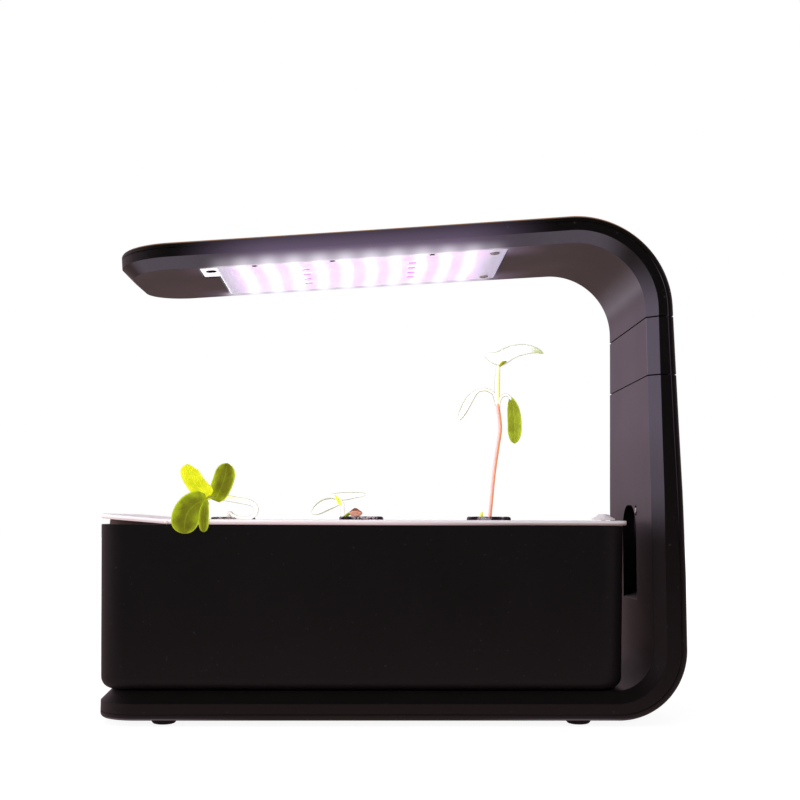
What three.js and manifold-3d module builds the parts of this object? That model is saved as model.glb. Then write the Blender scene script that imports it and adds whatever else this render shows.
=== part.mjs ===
// Countertop hydroponic garden: a bent stand with a height extension and a lamp arm over a water tank.
// Millimetres, +Z up. The origin is on the table, under the middle of the garden.
// The stand, the extension and the arm follow one bent band. A point of the band is given by s, the way along
// its inner face from the stand's left end, by w, the distance from its middle towards the front, and by t, the
// depth from its inner face.

import * as THREE from 'three';
import { mergeVertices } from 'three/addons/utils/BufferGeometryUtils.js';
import Module from 'manifold-3d';

const wasm = await Module();
wasm.setup();

// Clearances
const gap = 0.3; // between pieces that touch
const seam = 0.4; // between the halves of a housing
const joint = 0.6; // between the stand, the extension and the arm
const overrun = 1; // how far a cut runs past a face
const weld = 0.02; // points nearer than this are merged

// The band
const length = 300; // from the tank's left end to the back of the column
const deckInset = 1.4; // the deck's left end from the tank's
const standWidth = 120;
const noseWidth = 97;
const footHeight = 3;
const deckThick = 14.2;
const columnThick = 16.5;
const armThick = 13.7;
const deckBend = 20; // inner radius of the corner at the foot of the column
const armBend = 36; // inner radius of the corner under the arm
const armBendRise = 4.3; // where that corner starts, above the upper seam
const armTilt = THREE.MathUtils.degToRad(4.2);
const noseInset = 2.9; // the arm's free end from the tank's left end
const taperHeight = 115; // the column narrows above this
const thinHeight = 75; // and thins above this
const taperPower = 2.6;
const endRadius = 20; // corners of the deck, seen from above
const noseRadius = 30;
const chamfer = 5.7;
const edgeRound = 2.3;
const roundShare = 0.29; // middle point of a rounded edge
const wall = 2.2;
const coverThick = 3.1;
const bendSteps = 8;
const cornerSteps = 5;
const taperSteps = 3;
const armSteps = 4;

// Height extension
const lowSeamHeight = 179.2;
const extensionHeight = 31;

// Spigots and contacts
const spigotWidth = 52;
const spigotDepth = 12; // how far a spigot reaches into the piece below
const spigotHold = 14; // how far it reaches into its own piece
const spigotWall = 1.6;
const spigotRelief = 1.2; // room for the bend above
const contactWidth = 18;
const contactHeight = 12;
const contactPinRadius = 0.8;
const contactPinPitch = 8;
const contactPinLength = 4.5;
const contactClearance = 0.4;

// Arched recess in the column
const recessWidth = 35;
const recessBottom = 65;
const recessTop = 112;
const recessCorner = 14;
const recessDepth = 6.5;
const recessSlope = 4.4; // height of its sloping sill
const recessSteps = 6;

// Feet
const footRadius = 6.3;
const footInset = 13.5; // centre of a foot from the front edge
const footLeftInset = 33.2; // from the deck's left end
const footRightInset = 54; // from the column's back
const footSocket = 0.8;

// Screws
const screwHeadRadius = 2.7;
const screwHeadHeight = 1.6;
const screwShank = 1.3;
const screwLength = 7;
const boardScrewLength = 3;
const bossRadius = 3.6;
const screwSides = 14;
const standScrewLeftInset = 68.6;
const standScrewRightInset = 88;
const standScrewSide = 38;
const extensionScrewSide = 17;
const armScrewSide = 30;
const columnScrewSide = 17.5;
const columnScrewHeight = 108.8;
const columnScrewRadius = 1.9;
const columnScrewHead = 1.2;

// LED board and its pocket
const boardRightInset = 88.1; // from the column's back
const boardLength = 157;
const boardWidth = 78;
const boardThick = 1.6;
const boardSink = 0.8; // below the arm's face
const boardTabLength = 8.5;
const boardTabWidth = 24;
const pocketMargin = 1.6;
const pocketDepth = 2.7;
const ledColumns = 10;
const ledRows = 6;
const ledPitch = 13.5;
const ledRowPitch = 13;
const ledInset = 18.9; // first column from the board's right end
const ledLength = 3.5;
const ledWidth = 2.8;
const ledHeight = 0.6;
const slotLength = 7;
const slotWidth = 3.2;
const slotInset = 8.5; // slot and screws from the board's ends
const slotSide = 29;
const boardScrewInset = 6.2;
const boardScrewFront = 30.4;
const boardScrewRear = 34;
const plugLength = 9;
const plugWidth = 12;

// Driver board, leads and power jack
const driverLength = 52;
const driverWidth = 58;
const driverThick = 1.6;
const driverRightInset = 42; // from the column's back
const railHeight = 2;
const railWidth = 3;
const chipHeight = 2.4;
const chipLength = 16;
const chipShare = 0.3; // middle of the chip along the board
const leadRadius = 1.5;
const leadSides = 8;
const leadStep = 6;
const leadSide = 23;
const leadDepth = 6.6;
const jackHeight = 52;
const jackSide = -26;
const jackWidth = 11;
const jackTall = 9;
const jackBodyDepth = 8;
const jackBarrel = 4;
const jackBore = 2.9;
const jackPin = 0.9;
const jackBoreDepth = 9;

// Water tank
const tankRightGap = 12.9; // to the column's inner face
const tankWidth = 117;
const tankHeight = 83.4;
const tankWall = 2.2;
const tankDraft = 1.6;
const tankCorner = 15;
const tankBaseRound = 6;

// Planting tray and fill flap
const trayThick = 2.4;
const trayOverhang = 2;
const skirtInset = 4.3;
const skirtWall = 1.5;
const traySkirt = 8;
const flapSkirt = 5;
const flapShare = 0.12934; // of the tank's length, to the hinge pin
const flapRest = THREE.MathUtils.degToRad(4.5);
const flapBack = 6; // flap's skirt from the pin
const hingeClearance = 0.8;
const hingePin = 0.45;
const hingeBore = 0.8;
const earWidth = 8;
const earInset = 18.5; // middle of an ear from the tank's side
const pinInset = 8.5;

// Pods
const podPitchShare = 0.2624; // of the tank's length
const podShift = 1.4; // the middle pod is left of the tank's middle
const cupMouth = 12.7; // inner radius
const cupFoot = 9.4;
const cupWall = 1.4;
const cupDepth = 44;
const cupFlange = 16;
const cupFlangeThick = 1.2;
const cupSlots = 6;
const cupSlotWidth = 3.4;
const cupSlotHeight = 22;
const cupSlotFoot = 6;
const plugProud = 2.4;
const plugStep = 1.1;
const roundSides = 28;
const stemSocket = 6;

// Float
const floatInset = 8.8; // from the tank's right end
const floatSideInset = 20.5; // from the tank's front
const capRadius = 5.3;
const capTop = 3;
const capHeight = 4;
const floatStem = 1.2;
const floatStemLength = 26;
const floatLength = 15;
const floatWidth = 16;
const floatHeight = 10;
const floatBack = 12.5; // the float's left end from its stem

// Plants
const plantHeight = 100;
const stemRadius = 0.95;
const stemSides = 8;
const stemSteps = 14;
const leafThick = 0.8;
const leafFold = 1; // how far a leaf's edges rise above its middle
const huskLength = 6.5;
const huskWidth = 4.4;
const huskSides = 12;

// Worked out from the sizes above
const innerX = length / 2 - columnThick;
const deckTop = footHeight + deckThick;
const deckLeft = deckInset - length / 2;
const deckRun = length - deckInset - columnThick - deckBend;
const columnStart = deckRun + deckBend * Math.PI / 2;
const armBendHeight = lowSeamHeight + extensionHeight + armBendRise;
const columnEnd = onColumn(armBendHeight);
const armTurn = Math.PI / 2 + armTilt;
const armX = innerX - armBend - armBend * Math.sin(armTilt); // where the straight underside starts
const armRun = (armX + length / 2 - noseInset) / Math.cos(armTilt);
const armStart = columnEnd + armBend * armTurn;
const noseEnd = armStart + armRun;
const lowSeam = onColumn(lowSeamHeight);
const highSeam = onColumn(lowSeamHeight + extensionHeight);
const taperStart = onColumn(taperHeight);
const thinStart = onColumn(thinHeight);
const tankBottom = deckTop + gap;
const tankTop = deckTop + tankHeight;
const tankLeft = -length / 2;
const tankRight = innerX - tankRightGap;
const tankLength = tankRight - tankLeft;
const tankMiddle = (tankLeft + tankRight) / 2;
const trayBottom = tankTop + gap;
const trayTop = trayBottom + trayThick;
const trayRight = tankRight + trayOverhang;
const hingeX = tankLeft + tankLength * flapShare;
const hingeZ = trayBottom + trayThick / 2;
const hingeRadius = trayThick / 2;
const floatX = tankRight - floatInset;
const floatY = floatSideInset - tankWidth / 2;

// Where a height of the column, or a place under the arm, is along the band
function onColumn(height) {
  return columnStart + height - deckTop - deckBend;
}

function onArm(x) {
  return armStart + (armX - x) / Math.cos(armTilt);
}

function onDeck(x) {
  return x - deckLeft;
}

function bandPoint([s, w, t]) {
  if (s <= deckRun) return [s + deckLeft, -w, deckTop - t];
  if (s <= columnStart) {
    const turn = (s - deckRun) / deckBend - Math.PI / 2;
    const reach = deckBend + t;
    return [innerX - deckBend + reach * Math.cos(turn), -w, deckTop + deckBend + reach * Math.sin(turn)];
  }
  if (s <= columnEnd) return [innerX + t, -w, deckTop + deckBend + s - columnStart];
  const turn = Math.min((s - columnEnd) / armBend, armTurn);
  const run = Math.max(s - armStart, 0);
  const reach = armBend + t;
  return [
    innerX - armBend + reach * Math.cos(turn) - run * Math.sin(turn),
    -w,
    armBendHeight + reach * Math.sin(turn) + run * Math.cos(turn),
  ];
}

function halfWidth(s) {
  const share = THREE.MathUtils.clamp((s - taperStart) / (noseEnd - taperStart), 0, 1);
  return (noseWidth + (standWidth - noseWidth) * (1 - share) ** taperPower) / 2;
}

function thickness(s) {
  if (s <= columnStart) {
    const share = Math.max(s - deckRun, 0) / (columnStart - deckRun);
    return THREE.MathUtils.lerp(deckThick, columnThick, share);
  }
  const share = THREE.MathUtils.clamp((s - thinStart) / (columnEnd - thinStart), 0, 1);
  return THREE.MathUtils.lerp(columnThick, armThick, share);
}

// Solids
function solid(geometry) {
  geometry.deleteAttribute('normal');
  geometry.deleteAttribute('uv');
  const merged = mergeVertices(geometry);
  const triangles = [];
  for (let i = 0; i < merged.index.count; i += 3) {
    const [a, b, c] = [0, 1, 2].map((k) => merged.index.getX(i + k));
    if (a !== b && b !== c && c !== a) triangles.push(a, b, c);
  }
  return new wasm.Manifold(new wasm.Mesh({
    numProp: 3,
    vertProperties: merged.attributes.position.array,
    triVerts: new Uint32Array(triangles),
  }));
}

function join(first, ...others) {
  return others.reduce((sum, other) => sum.add(other), first);
}

function cut(first, ...others) {
  return others.reduce((rest, other) => rest.subtract(other), first);
}

function enclosedVolume(positions, index) {
  const corners = [0, 1, 2].map(() => new THREE.Vector3());
  let sum = 0;
  for (let i = 0; i < index.length; i += 3) {
    corners.forEach((corner, k) => corner.fromArray(positions, 3 * index[i + k]));
    sum += corners[0].dot(corners[1].cross(corners[2]));
  }
  return sum;
}

// A closed solid through rings of points. Both ends are closed by strips between a ring's two halves.
function loft(rings) {
  const count = rings[0].length;
  const positions = rings.flat(2);
  const index = [];
  const quad = (a, b, c, d) => index.push(a, b, c, a, c, d);
  for (let r = 0; r + 1 < rings.length; r++) {
    for (let i = 0; i < count; i++) {
      const next = (i + 1) % count;
      quad(r * count + i, r * count + next, (r + 1) * count + next, (r + 1) * count + i);
    }
  }
  const last = (rings.length - 1) * count;
  for (let i = 0; i + 1 < count / 2; i++) {
    quad(i, count - 1 - i, count - 2 - i, i + 1);
    quad(last + i, last + i + 1, last + count - 2 - i, last + count - 1 - i);
  }
  if (enclosedVolume(positions, index) < 0) index.reverse();
  const geometry = new THREE.BufferGeometry();
  geometry.setAttribute('position', new THREE.Float32BufferAttribute(positions, 3));
  geometry.setIndex(index);
  return solid(geometry);
}

function box(x0, x1, y0, y1, z0, z1) {
  const geometry = new THREE.BoxGeometry(x1 - x0, y1 - y0, z1 - z0);
  return solid(geometry.translate((x0 + x1) / 2, (y0 + y1) / 2, (z0 + z1) / 2));
}

function roundSection(radius, sides) {
  const turns = Array.from({ length: sides }, (_, k) => 2 * Math.PI * k / sides);
  return new THREE.Shape(turns.map((turn) => new THREE.Vector2(radius * Math.cos(turn), radius * Math.sin(turn))));
}

// A round solid about a vertical line, from its profile of [radius, height]
function turned(profile, x, y, sides = roundSides) {
  const points = profile.map(([radius, height]) => new THREE.Vector2(radius, height));
  return solid(new THREE.LatheGeometry(points, sides).rotateX(Math.PI / 2).translate(x, y, 0));
}

function post(radius, x, y, z0, z1, sides = roundSides) {
  return turned([[0, z0], [radius, z0], [radius, z1], [0, z1]], x, y, sides);
}

// An outline with round corners, its left half first, so that loft can close it
function roundedOutline(x0, x1, y0, y1, radius, z) {
  const points = [];
  const corners = [[x0 + radius, y1 - radius, 2], [x1 - radius, y1 - radius, 1],
    [x1 - radius, y0 + radius, 0], [x0 + radius, y0 + radius, -1]];
  for (const [x, y, quarter] of corners) {
    for (let k = 0; k <= cornerSteps; k++) {
      const angle = (quarter - k / cornerSteps) * Math.PI / 2;
      points.push([x + radius * Math.cos(angle), y + radius * Math.sin(angle), z]);
    }
  }
  return points;
}

// Band solids
function bent(geometry) {
  const position = geometry.attributes.position;
  for (let i = 0; i < position.count; i++) {
    position.setXYZ(i, ...bandPoint([position.getX(i), position.getY(i), position.getZ(i)]));
  }
  return geometry;
}

function bandBox(s0, s1, w0, w1, t0, t1) {
  const geometry = new THREE.BoxGeometry(s1 - s0, w1 - w0, t1 - t0);
  return solid(bent(geometry.translate((s0 + s1) / 2, (w0 + w1) / 2, (t0 + t1) / 2)));
}

// A round solid square to the band, from its profile of [radius, t]
function bandTurned(profile, s, w, sides = screwSides) {
  const points = profile.map(([radius, t]) => new THREE.Vector2(radius, t));
  return solid(bent(new THREE.LatheGeometry(points, sides).rotateX(Math.PI / 2).translate(s, w, 0)));
}

function bandPost(radius, s, w, t0, t1, sides = screwSides) {
  return bandTurned([[0, t0], [radius, t0], [radius, t1], [0, t1]], s, w, sides);
}

function stations(from, to) {
  const spans = [[0, deckRun, 1], [deckRun, columnStart, bendSteps], [columnStart, thinStart, 1],
    [thinStart, taperStart, 1], [taperStart, columnEnd, taperSteps], [columnEnd, armStart, bendSteps],
    [armStart, noseEnd, armSteps]];
  const inside = [];
  for (const [start, end, steps] of spans) {
    for (let k = 0; k < steps; k++) inside.push(THREE.MathUtils.lerp(start, end, k / steps));
  }
  return [from, ...inside.filter((s) => s > from + overrun && s < to - overrun), to];
}

// A stretch of the band. A layer has its depth, as a function of s, and its inset from the band's edge.
function bandSolid({ from, to, layers, startRadius = 0, endRadius = 0 }) {
  const ring = (place) => {
    const front = layers.map((layer) => place(layer));
    const rear = front.map(([s, w, t]) => [s, -w, t]).reverse();
    return [...front, ...rear].map(bandPoint);
  };
  const straight = (at) => ring(({ t, inset }) => [at, halfWidth(at) - inset, t(at)]);
  const corner = (end, way, radius, share) => ring(({ t, inset }) => {
    const reach = Math.max(radius - inset, 0);
    const s = end - way * (radius - reach * Math.sin(share * Math.PI / 2));
    return [s, halfWidth(s) - radius + reach * Math.cos(share * Math.PI / 2), t(s)];
  });
  const rings = [];
  for (let k = 0; k < cornerSteps && startRadius; k++) {
    rings.push(corner(from, -1, startRadius, 1 - k / cornerSteps));
  }
  rings.push(...stations(from + startRadius, to - endRadius).map(straight));
  for (let k = 1; k <= cornerSteps && endRadius; k++) {
    rings.push(corner(to, 1, endRadius, k / cornerSteps));
  }
  return loft(rings);
}

const fromInner = (depth) => () => depth;
const fromOuter = (depth) => (s) => thickness(s) - depth;

const shellLayers = [
  { t: fromInner(0), inset: chamfer },
  { t: fromInner(chamfer), inset: 0 },
  { t: fromOuter(coverThick + seam), inset: 0 },
];
const innerChamfer = chamfer + wall * Math.tan(Math.PI / 8);
const cavityLayers = [
  { t: fromInner(wall), inset: innerChamfer },
  { t: fromInner(innerChamfer), inset: wall },
  { t: fromOuter(coverThick), inset: wall },
];
const coverLayers = [
  { t: fromOuter(coverThick), inset: 0 },
  { t: fromOuter(edgeRound), inset: 0 },
  { t: fromOuter(edgeRound * roundShare), inset: edgeRound * roundShare },
  { t: fromOuter(0), inset: edgeRound },
];

// A spigot's depth in the band, the same at both seams
const spigotIn = wall + gap;
const spigotOut = armThick - coverThick - gap - spigotRelief;
const contactIn = spigotIn + spigotWall + gap;
const contactOut = spigotOut - spigotWall - gap;

function columnBox(s0, s1, w0, w1, t0, t1) {
  const height = (s) => s - columnStart + deckTop + deckBend;
  return box(innerX + t0, innerX + t1, -w1, -w0, height(s0), height(s1));
}

function spigotHole(s) {
  return columnBox(s - wall - overrun, s + wall + overrun, -spigotWidth / 2 - gap, spigotWidth / 2 + gap,
    spigotIn - gap, columnThick);
}

function spigot(from, to) {
  const outside = columnBox(from, to, -spigotWidth / 2, spigotWidth / 2, spigotIn, spigotOut);
  const hollow = columnBox(from - overrun, to + overrun, -spigotWidth / 2 + spigotWall,
    spigotWidth / 2 - spigotWall, spigotIn + spigotWall, spigotOut - spigotWall);
  return cut(outside, hollow);
}

// A contact block, with its pins at the lower end and its pin holes at the upper end
function contact(from, to, t0, t1, { pins, holes }) {
  let block = columnBox(from, to, -contactWidth / 2, contactWidth / 2, t0, t1);
  const t = (contactIn + contactOut) / 2;
  for (const side of [-1, 1]) {
    const w = side * contactPinPitch / 2;
    const bar = (radius, s0, s1) => columnBox(s0, s1, w - radius, w + radius, t - radius, t + radius);
    if (pins) block = join(block, bar(contactPinRadius, from - contactPinLength, from + overrun));
    if (holes) {
      const radius = contactPinRadius + contactClearance;
      block = cut(block, bar(radius, to - contactPinLength - overrun, to + overrun));
    }
  }
  return block;
}

function screw(s, w, seat, way, { shank = screwLength, head = screwHeadRadius, rise = screwHeadHeight } = {}) {
  const profile = [[0, -shank], [screwShank, -shank], [screwShank, 0], [head, 0],
    [head, rise / 2], [head / 2, rise], [0, rise]];
  const points = profile.map(([radius, height]) => [radius, seat + way * height]);
  return bandTurned(way > 0 ? points : points.reverse(), s, w);
}

function screwHole(s, w, seat, way, shank = screwLength, head = screwHeadRadius) {
  const low = seat - way * (shank + gap);
  const high = seat + way * columnThick;
  const hole = bandPost(screwShank + gap, s, w, Math.min(low, high), Math.max(low, high));
  const sunk = seat - way * gap;
  return join(hole, bandPost(head + gap, s, w, Math.min(sunk, high), Math.max(sunk, high)));
}

function lead(points) {
  const route = new THREE.CatmullRomCurve3(points.map((point) => new THREE.Vector3(...point)));
  class Route extends THREE.Curve {
    getPoint(share, target = new THREE.Vector3()) {
      return target.fromArray(bandPoint(route.getPoint(share).toArray()));
    }
  }
  const steps = Math.ceil(route.getLength() / leadStep);
  return solid(new THREE.ExtrudeGeometry(roundSection(leadRadius, leadSides),
    { extrudePath: new Route(), steps, bevelEnabled: false }));
}

// Materials
const plastic = (color, roughness) => new THREE.MeshStandardMaterial({ color, roughness, metalness: 0 });
const blackPlastic = plastic(0x1b1819, 0.5);
const tankPlastic = plastic(0x171415, 0.45);
const whitePlastic = plastic(0xe8e4e4, 0.4);
const rubber = plastic(0x151515, 0.85);
const boardWhite = plastic(0xf3f0f2, 0.5);
const boardGreen = plastic(0x1f5a35, 0.5);
const foam = plastic(0x2a2320, 0.95);
const cork = plastic(0xd8b98a, 0.9);
const leafGreen = plastic(0x9fb51c, 0.5);
const wire = plastic(0x1a1a1a, 0.6);
const steel = new THREE.MeshStandardMaterial({ color: 0xb8b8ba, roughness: 0.3, metalness: 1 });

const garden = new THREE.Group();

function add(name, shape, material, parent = garden) {
  const { vertProperties, triVerts } = shape.simplify(weld).getMesh();
  const geometry = new THREE.BufferGeometry();
  geometry.setAttribute('position', new THREE.BufferAttribute(vertProperties, 3));
  geometry.setIndex(new THREE.BufferAttribute(triVerts, 1));
  geometry.computeVertexNormals();
  const mesh = new THREE.Mesh(geometry, material);
  mesh.name = name;
  parent.add(mesh);
}

// Stand
const standTop = lowSeam - joint / 2;
const standScrewRows = [['left', deckLeft + standScrewLeftInset], ['right', length / 2 - standScrewRightInset]];
const standScrews = standScrewRows.flatMap(([row, x]) => [
  { row, side: 'front', s: onDeck(x), w: standScrewSide },
  { row, side: 'rear', s: onDeck(x), w: -standScrewSide },
]);
const deckSeat = deckThick - screwHeadHeight - gap;
const coverInside = deckThick - coverThick;
const driverRight = length / 2 - driverRightInset;

function archedPrism(width, bottom, top, corner, t0, t1) {
  const radius = Math.min(corner, width / 2);
  const outline = [[bottom, -width / 2], [bottom, width / 2]];
  for (let k = 0; k <= 2 * recessSteps; k++) {
    const angle = k / recessSteps * Math.PI / 2;
    const side = angle < Math.PI / 2 ? 1 : -1;
    const middle = side * (width / 2 - radius);
    outline.push([top - radius + radius * Math.sin(angle), middle + radius * Math.cos(angle)]);
  }
  const shape = new THREE.Shape(outline.map(([height, w]) => new THREE.Vector2(onColumn(height), w)));
  const geometry = new THREE.ExtrudeGeometry(shape, { depth: t1 - t0, bevelEnabled: false });
  return solid(bent(geometry.translate(0, 0, t0)));
}

function recessSill() {
  const shape = new THREE.Shape([[recessBottom, -overrun], [recessBottom - recessSlope, -overrun],
    [recessBottom, recessDepth]].map(([height, t]) => new THREE.Vector2(onColumn(height), t)));
  const geometry = new THREE.ExtrudeGeometry(shape, { depth: recessWidth, bevelEnabled: false });
  geometry.rotateX(Math.PI / 2).translate(0, recessWidth / 2, 0);
  return solid(bent(geometry));
}

function standShell() {
  let shell = cut(
    bandSolid({ from: 0, to: standTop, layers: shellLayers, startRadius: endRadius }),
    bandSolid({ from: wall, to: standTop - wall, layers: cavityLayers, startRadius: endRadius - wall }),
    spigotHole(standTop),
  );
  for (const { s, w } of standScrews) {
    shell = join(shell, bandPost(bossRadius, s, w, wall / 2, coverInside - seam));
  }
  shell = join(shell, bandPost(bossRadius, onColumn(columnScrewHeight), columnScrewSide,
    wall / 2, recessDepth + wall));
  const pocket = archedPrism(recessWidth, recessBottom, recessTop, recessCorner, -overrun, recessDepth);
  const lining = archedPrism(recessWidth + 2 * wall, recessBottom - recessSlope - wall, recessTop + wall,
    recessCorner + wall, wall / 2, recessDepth + wall);
  shell = cut(join(shell, lining), pocket, recessSill());
  for (const { s, w } of standScrews) shell = cut(shell, screwHole(s, w, deckSeat, 1));
  return cut(shell, bandPost(screwShank + gap, onColumn(columnScrewHeight), columnScrewSide,
    -overrun, boardScrewLength + 2 * gap));
}

function standCover() {
  let cover = bandSolid({ from: 0, to: standTop, layers: coverLayers, startRadius: endRadius });
  for (const end of [driverRight - driverLength, driverRight - railWidth]) {
    cover = join(cover, bandBox(onDeck(end), onDeck(end) + railWidth, -driverWidth / 2, driverWidth / 2,
      coverInside - railHeight, coverInside + overrun));
  }
  for (const { s, w } of standScrews) cover = cut(cover, screwHole(s, w, deckSeat, 1));
  const [jackS, jackW] = [onColumn(jackHeight), jackSide];
  cover = cut(cover, bandPost(jackBarrel + gap, jackS, jackW, 0, columnThick + overrun));
  for (const { x, w } of feet) {
    cover = cut(cover, bandPost(footRadius + gap, onDeck(x), w, deckThick - footSocket, columnThick, roundSides));
  }
  return cover;
}

const footSide = standWidth / 2 - footInset;
const footLeft = deckLeft + footLeftInset;
const footRight = length / 2 - footRightInset;
const feet = [
  { name: 'foot_front_left', x: footLeft, w: footSide },
  { name: 'foot_front_right', x: footRight, w: footSide },
  { name: 'foot_rear_left', x: footLeft, w: -footSide },
  { name: 'foot_rear_right', x: footRight, w: -footSide },
];

function foot(x, w) {
  const top = footHeight + footSocket - gap;
  const rounded = footRadius - footHeight / 2;
  return turned([[0, 0], [rounded, 0], [footRadius, footHeight / 2], [footRadius, top], [0, top]], x, -w);
}

function driverBoard() {
  const [s0, s1] = [onDeck(driverRight - driverLength), onDeck(driverRight)];
  const t1 = coverInside - railHeight - gap;
  const t0 = t1 - driverThick;
  const board = bandBox(s0, s1, -driverWidth / 2, driverWidth / 2, t0, t1);
  const middle = THREE.MathUtils.lerp(s0, s1, chipShare);
  const chip = bandBox(middle - chipLength / 2, middle + chipLength / 2, -chipLength / 2, chipLength / 2,
    t0 - chipHeight, t0 + driverThick / 2);
  const terminal = bandBox(s1 - plugLength, s1, leadSide - plugWidth / 2, leadSide + plugWidth / 2,
    t0 - chipHeight, t0 + driverThick / 2);
  return join(board, chip, terminal);
}

function powerJack() {
  const s = onColumn(jackHeight);
  const inside = columnThick - coverThick - gap;
  const body = bandBox(s - jackTall / 2, s + jackTall / 2, jackSide - jackWidth / 2, jackSide + jackWidth / 2,
    inside - jackBodyDepth, inside);
  const barrel = bandPost(jackBarrel, s, jackSide, inside - overrun, columnThick);
  const bore = bandPost(jackBore, s, jackSide, columnThick - jackBoreDepth, columnThick + overrun);
  const pin = bandPost(jackPin, s, jackSide, columnThick - jackBoreDepth - overrun, columnThick - overrun,
    leadSides);
  return join(cut(join(body, barrel), bore), pin);
}

const socketTop = lowSeam - spigotDepth - gap;

add('stand_shell', standShell(), blackPlastic);
add('stand_cover', standCover(), blackPlastic);
for (const { name, x, w } of feet) add(name, foot(x, w), rubber);
for (const { row, side, s, w } of standScrews) {
  add(`stand_screw_${side}_${row}`, screw(s, w, deckSeat, 1), steel);
}
add('column_screw', screw(onColumn(columnScrewHeight), columnScrewSide, -gap, -1,
  { shank: boardScrewLength, head: columnScrewRadius, rise: columnScrewHead }), steel);
add('driver_board', driverBoard(), boardGreen);
add('power_jack', powerJack(), blackPlastic);
const socketOut = thickness(socketTop) - coverThick - gap;
add('column_socket', contact(socketTop - contactHeight, socketTop, wall + gap, socketOut,
  { pins: false, holes: true }), blackPlastic);

// Height extension
const extensionBottom = lowSeam + joint / 2;
const extensionTop = highSeam - joint / 2;
const extensionScrewAt = lowSeam + spigotHold / 2;
const extensionSeat = thickness(extensionScrewAt) - screwHeadHeight - gap;
const backScrewLength = extensionSeat - spigotOut + spigotWall / 2;
const linkTop = highSeam - spigotDepth - gap;

function extensionShell() {
  return cut(
    bandSolid({ from: extensionBottom, to: extensionTop, layers: shellLayers }),
    bandSolid({ from: extensionBottom + wall, to: extensionTop - wall, layers: cavityLayers }),
    spigotHole(extensionBottom),
    spigotHole(extensionTop),
  );
}

function screwedFromBack(shape, s, side, seat) {
  return cut(shape, ...[-1, 1].map((way) => screwHole(s, way * side, seat, 1, backScrewLength)));
}

add('extension_shell', extensionShell(), blackPlastic);
add('extension_cover', screwedFromBack(
  bandSolid({ from: extensionBottom, to: extensionTop, layers: coverLayers }),
  extensionScrewAt, extensionScrewSide, extensionSeat), blackPlastic);
add('extension_core', screwedFromBack(spigot(lowSeam - spigotDepth, lowSeam + spigotHold),
  extensionScrewAt, extensionScrewSide, extensionSeat), blackPlastic);
for (const [side, way] of [['front', 1], ['rear', -1]]) {
  add(`extension_screw_${side}`, screw(extensionScrewAt, way * extensionScrewSide, extensionSeat, 1,
    { shank: backScrewLength }), steel);
}
add('extension_link', contact(lowSeam - spigotDepth, linkTop, contactIn, contactOut,
  { pins: true, holes: true }), blackPlastic);

// Lamp arm
const armBottom = highSeam + joint / 2;
const plugTop = highSeam + spigotHold - gap;
const boardRight = length / 2 - boardRightInset;
const boardStart = onArm(boardRight);
const boardEnd = boardStart + boardLength;
const pocketStart = boardStart - pocketMargin;
const pocketEnd = boardEnd + boardTabLength + pocketMargin;
const pocketSide = boardWidth / 2 + pocketMargin;
const boardIn = boardSink;
const boardOut = boardSink + boardThick;
const armSeat = pocketDepth + screwHeadHeight;
const armScrews = [boardStart + ledPitch, boardEnd - ledPitch].map((s, i) => ({ end: ['right', 'left'][i], s }));
const boardScrews = [{ side: 'front', w: boardScrewFront }, { side: 'rear', w: -boardScrewRear }];
const connectorStart = boardStart + ledPitch * 2;

function armShell() {
  let shell = cut(
    bandSolid({ from: armBottom, to: noseEnd, layers: shellLayers, endRadius: noseRadius }),
    bandSolid({ from: armBottom + wall, to: noseEnd - wall, layers: cavityLayers, endRadius: noseRadius - wall }),
    spigotHole(armBottom),
  );
  const floor = bandBox(pocketStart - wall, pocketEnd + wall, -pocketSide - wall, pocketSide + wall,
    wall / 2, pocketDepth + wall);
  const slab = bandSolid({ from: armBottom, to: noseEnd, layers: shellLayers, endRadius: noseRadius });
  shell = join(shell, floor.intersect(slab));
  for (const { s } of armScrews) {
    shell = join(shell, bandPost(bossRadius, s, -armScrewSide, pocketDepth, armThick - coverThick - seam));
  }
  shell = cut(shell, bandBox(pocketStart, pocketEnd, -pocketSide, pocketSide, -overrun, pocketDepth));
  for (const { s } of armScrews) {
    shell = cut(shell, bandPost(screwHeadRadius + gap, s, -armScrewSide, 0, armSeat + gap),
      bandPost(screwShank + gap, s, -armScrewSide, 0, armThick));
  }
  for (const { w } of boardScrews) {
    shell = cut(shell, bandPost(screwShank + gap, boardStart + boardScrewInset, w, 0,
      boardIn + boardScrewLength + gap));
  }
  return cut(shell, bandBox(connectorStart - gap, connectorStart + plugLength + gap,
    -plugWidth / 2 - gap, plugWidth / 2 + gap, 0, armThick - coverThick - seam));
}

function armCover() {
  let cover = bandSolid({ from: armBottom, to: noseEnd, layers: coverLayers, endRadius: noseRadius });
  for (const { s } of armScrews) {
    cover = join(cover, bandPost(bossRadius, s, -armScrewSide, armThick - coverThick, armThick - edgeRound / 2));
    cover = cut(cover, bandPost(screwShank + gap, s, -armScrewSide, 0, armSeat + screwLength + 2 * gap));
  }
  return cover;
}

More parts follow.
